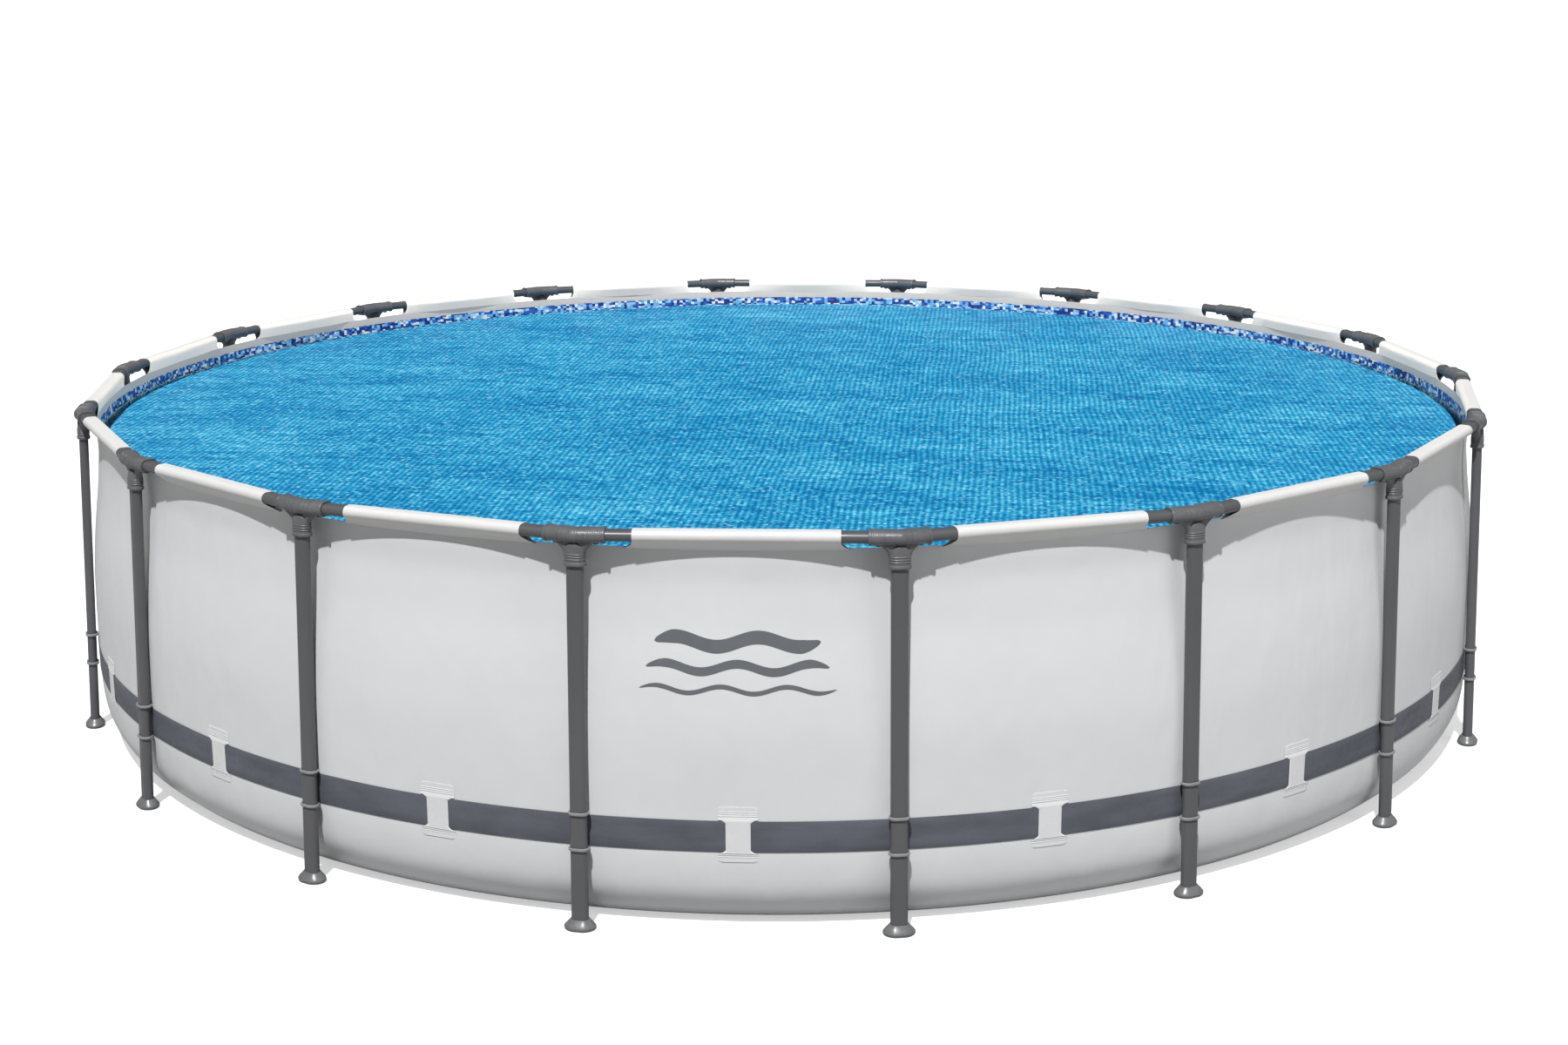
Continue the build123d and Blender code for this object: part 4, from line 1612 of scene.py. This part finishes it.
@dataclass
class WallMark(SubAssembly):
    """A plain wave mark on the front bay: three printed strokes."""

    liner: Liner = None
    azimuth: float = math.radians(270.0)
    middle_height: float = 0.818
    lift: float = 0.0006
    film: float = 0.0003
    crease: float = 60.0
    merge: float = 0.00005
    strokes: tuple[tuple[float, ...], ...] = (
        (0.245, 0.073, 0.020, 0.014, 2.0),
        (0.270, -0.003, 0.013, 0.012, 2.5),
        (0.290, -0.068, 0.007, 0.010, 3.0),
    )

    def build(self) -> None:
        """Lay the strokes on the wall's outside as thin printed film."""
        outline = self.liner.outline()
        sides = (1, 0.5, 0, -0.5, -1)
        shell = Shell()
        for half, level, half_thick, swing, waves in self.strokes:
            along = np.linspace(-half, half, 97)
            share = (along + half) / (2 * half)
            line = self.middle_height + level + swing * np.sin(share * TURN * waves)
            taper = half_thick * np.clip(np.sin(share * math.pi) * 3.0, 0.0, 1.0) ** 0.5
            angle = self.azimuth + along / GIRTH_RADIUS
            rows = []
            for out, order in ((self.lift, sides), (self.lift - self.film, sides[::-1])):
                for part in order:
                    height = line + taper * part
                    radius = np.interp(height, outline[:, 0], outline[:, 1])
                    bulge = [self.liner.bulge(np.array([g]), float(h))[0] for g, h in zip(angle, height)]
                    rows.append(around(radius + np.array(bulge) + out, angle, height))
            shell.grid(np.stack(rows), wrap_rows=True)
        mark = object_from("wave_mark", shell.mesh("wave_mark", self.crease), self.wardrobe.mark)
        work = bmesh.new()
        work.from_mesh(mark.data)
        bmesh.ops.remove_doubles(work, verts=work.verts, dist=self.merge)
        work.to_mesh(mark.data)
        work.free()
        self.declare(mark, "band_grey")


@dataclass
class SmallParts(SubAssembly):
    """Pins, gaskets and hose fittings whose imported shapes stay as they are."""

    def build(self) -> None:
        """Give each carried-over node its material."""
        wardrobe = self.wardrobe
        groups = (
            (wardrobe.steel, "connector_pins"),
            (wardrobe.rubber, "pin_gaskets", "suction_gaskets", "return_gaskets"),
            (wardrobe.fitting, "suction_body", "suction_nut", "suction_strainer", "return_body"),
            (wardrobe.fitting, "return_nut", "nozzle_ring", "return_nozzle", "drain_body"),
            (wardrobe.plug, "drain_cap", "drain_plug"),
            (wardrobe.pin, "drain_hinge_pin"),
        )
        for finish, *names in groups:
            for name in names:
                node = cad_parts[name]
                if not node.material_slots:
                    node.data.materials.append(finish)
                for place in node.material_slots:
                    place.material = finish
                log.info("%s keeps its packed shape", name)


# ---------------------------------------------------------------- stage
@dataclass
class Studio:
    """Pale floor, daylight and the camera."""

    camera_place: Colour = (0.442, -8.817, 2.78)
    heading: float = math.radians(2.84)
    dip: float = math.radians(13.97)
    roll: float = math.radians(-0.22)
    lens: float = 50.9
    sensor: float = 36.0
    floor_size: float = 60.0
    floor_drop: float = 0.0012
    floor_bounce: float = 0.34
    floor_pale: float = 0.62
    floor_glow: float = 0.52
    sun_power: float = 4.2
    sun_angle: float = math.radians(1.4)
    sun_azimuth: float = math.radians(262.0)
    sun_height: float = math.radians(61.0)
    aim: Colour = (0.0, 0.0, 0.6)
    panels: tuple[tuple[str, Colour, float, float], ...] = (
        ("panel_left", (-9.0, -4.0, 3.5), 5.0, 60.0),
        ("panel_right", (8.5, -6.0, 3.8), 5.0, 150.0),
        ("panel_back_left", (-8.0, 9.0, 4.5), 6.0, 420.0),
        ("panel_back_right", (8.0, 9.0, 4.5), 6.0, 420.0),
    )
    rim_lamp_place: Colour = (0.0, 0.3, 1.35)
    rim_lamp_size: float = 0.4
    sleeve_lamp: tuple[float, Colour] = (240.0, (1.0, 0.82, 0.62))
    wall_lamp: tuple[float, Colour] = (125.0, (1.0, 0.90, 0.80))
    sky_light: float = 0.05
    sky_seen: float = 1.1

    def build_camera(self) -> None:
        """Make the camera and set it as the scene's own."""
        data = bpy.data.cameras.new("camera")
        data.lens, data.sensor_width, data.clip_end = self.lens, self.sensor, 200.0
        camera = bpy.data.objects.new("camera", data)
        place = Matrix.Translation(self.camera_place)
        turn = Matrix.Rotation(self.heading, 4, "Z") @ Matrix.Rotation(math.pi / 2 - self.dip, 4, "X")
        camera.matrix_world = place @ turn @ Matrix.Rotation(self.roll, 4, "Z")
        bpy.context.scene.collection.objects.link(camera)
        bpy.context.scene.camera = camera

    def build_floor(self) -> None:
        """Make the pale floor, which throws back less light than it shows."""
        half = self.floor_size
        made = bpy.data.meshes.new("studio_floor")
        square = [(x * half, y * half, -self.floor_drop) for x, y in ((-1, -1), (1, -1), (1, 1), (-1, 1))]
        made.from_pydata(square, [], [(0, 1, 2, 3)])
        bench = Bench("studio_floor_pale")
        bench.finish(
            Base_Color=(*(self.floor_pale,) * 3, 1.0),
            Roughness=0.9,
            Specular_IOR_Level=0.1,
            Emission_Color=(1.0, 1.0, 1.0, 1.0),
            Emission_Strength=self.floor_glow,
        )
        dim = bench.add("BsdfDiffuse", Color=(*(self.floor_bounce,) * 3, 1.0))
        both = bench.add("MixShader", Fac=bench.add("LightPath").outputs["Is Camera Ray"])
        bench.link(dim.outputs[0], both.inputs[1])
        bench.link(bench.shader.outputs[0], both.inputs[2])
        bench.link(both.outputs[0], bench.tree.nodes["Material Output"].inputs["Surface"])
        object_from("studio_floor", made, bench.material)

    def lamp(self, name: str, kind: str, power: float, place: Colour) -> bpy.types.Object:
        """Add a lamp.

        Args:
            name: Its name.
            kind: Its type.
            power: Its power, in watts, or its strength for a sun.
            place: Where it hangs.

        Returns:
            The lamp.
        """
        data = bpy.data.lights.new(name, kind)
        data.energy = power
        lamp = bpy.data.objects.new(name, data)
        lamp.location = place
        bpy.context.scene.collection.objects.link(lamp)
        return lamp

    def build_lights(self) -> None:
        """Make the sun and the side panels."""
        azimuth, height = self.sun_azimuth, self.sun_height
        ray = Vector(around(math.cos(height), azimuth, math.sin(height)))
        sun = self.lamp("sun", "SUN", self.sun_power, (0.0, 0.0, 0.0))
        sun.data.angle = self.sun_angle
        sun.rotation_euler = ray.to_track_quat("Z", "Y").to_euler()
        for name, place, size, power in self.panels:
            panel = self.lamp(name, "AREA", power, place)
            panel.data.size = size
            panel.rotation_euler = (Vector(place) - Vector(self.aim)).to_track_quat("Z", "Y").to_euler()
            panel.visible_camera = panel.visible_glossy = False

    def light_rim(self, piece: bpy.types.Object, power: float, colour: Colour) -> None:
        """Light the inner side of a rim piece, so that it keeps its own pale colour.

        Args:
            piece: The only piece that the lamp reaches.
            power: The lamp's power in watts.
            colour: Its colour.
        """
        lamp = self.lamp(f"lamp_for_{piece.name}", "POINT", power, self.rim_lamp_place)
        lamp.data.shadow_soft_size, lamp.data.color = self.rim_lamp_size, colour
        lamp.visible_camera = lamp.visible_glossy = False
        reached = bpy.data.collections.new(lamp.name)
        reached.objects.link(piece)
        lamp.light_linking.receiver_collection = reached

    def build_world(self) -> None:
        """Make the pale surroundings, dim as a light and white behind the object."""
        world = bpy.data.worlds.new("pale_surroundings")
        world.use_nodes = True
        tree = world.node_tree
        sky, seen = tree.nodes["Background"], tree.nodes.new("ShaderNodeBackground")
        for node, strength in ((sky, self.sky_light), (seen, self.sky_seen)):
            node.inputs["Color"].default_value = (1.0, 1.0, 1.0, 1.0)
            node.inputs["Strength"].default_value = strength
        path, mix = tree.nodes.new("ShaderNodeLightPath"), tree.nodes.new("ShaderNodeMixShader")
        tree.links.new(path.outputs["Is Camera Ray"], mix.inputs["Fac"])
        tree.links.new(sky.outputs[0], mix.inputs[1])
        tree.links.new(seen.outputs[0], mix.inputs[2])
        tree.links.new(mix.outputs[0], tree.nodes["World Output"].inputs["Surface"])
        bpy.context.scene.world = world
        bpy.context.scene.view_settings.view_transform = "Standard"

    def build(self) -> None:
        """Make the whole stage."""
        self.build_camera()
        self.build_floor()
        self.build_lights()
        self.build_world()


def main() -> None:
    """Build every sub-assembly in order."""
    logging.basicConfig(level=logging.INFO, format="%(name)s: %(message)s")
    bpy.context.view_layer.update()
    layout = PoolLayout.from_frame()
    log.info("layout: %s", layout)
    shared = (layout, Wardrobe(layout), RingTree("ring_of_bays"))
    studio = Studio()
    studio.build()
    SteelFrame(*shared).build()
    Connectors(*shared, row=RowTree("row_of_marks")).build()
    FootCaps(*shared).build()
    LegHoops(*shared).build()
    liner = Liner(*shared)
    studio.light_rim(liner.build_sleeves(), *studio.sleeve_lamp)
    studio.light_rim(liner.build_wall(), *studio.wall_lamp)
    liner.build_floor()
    restraint = Restraint(*shared)
    restraint.build_band()
    restraint.build_loops()
    SolarCover(*shared).build()
    WallMark(*shared, liner=liner).build()
    SmallParts(*shared).build()


if __name__ == "__main__":
    main()
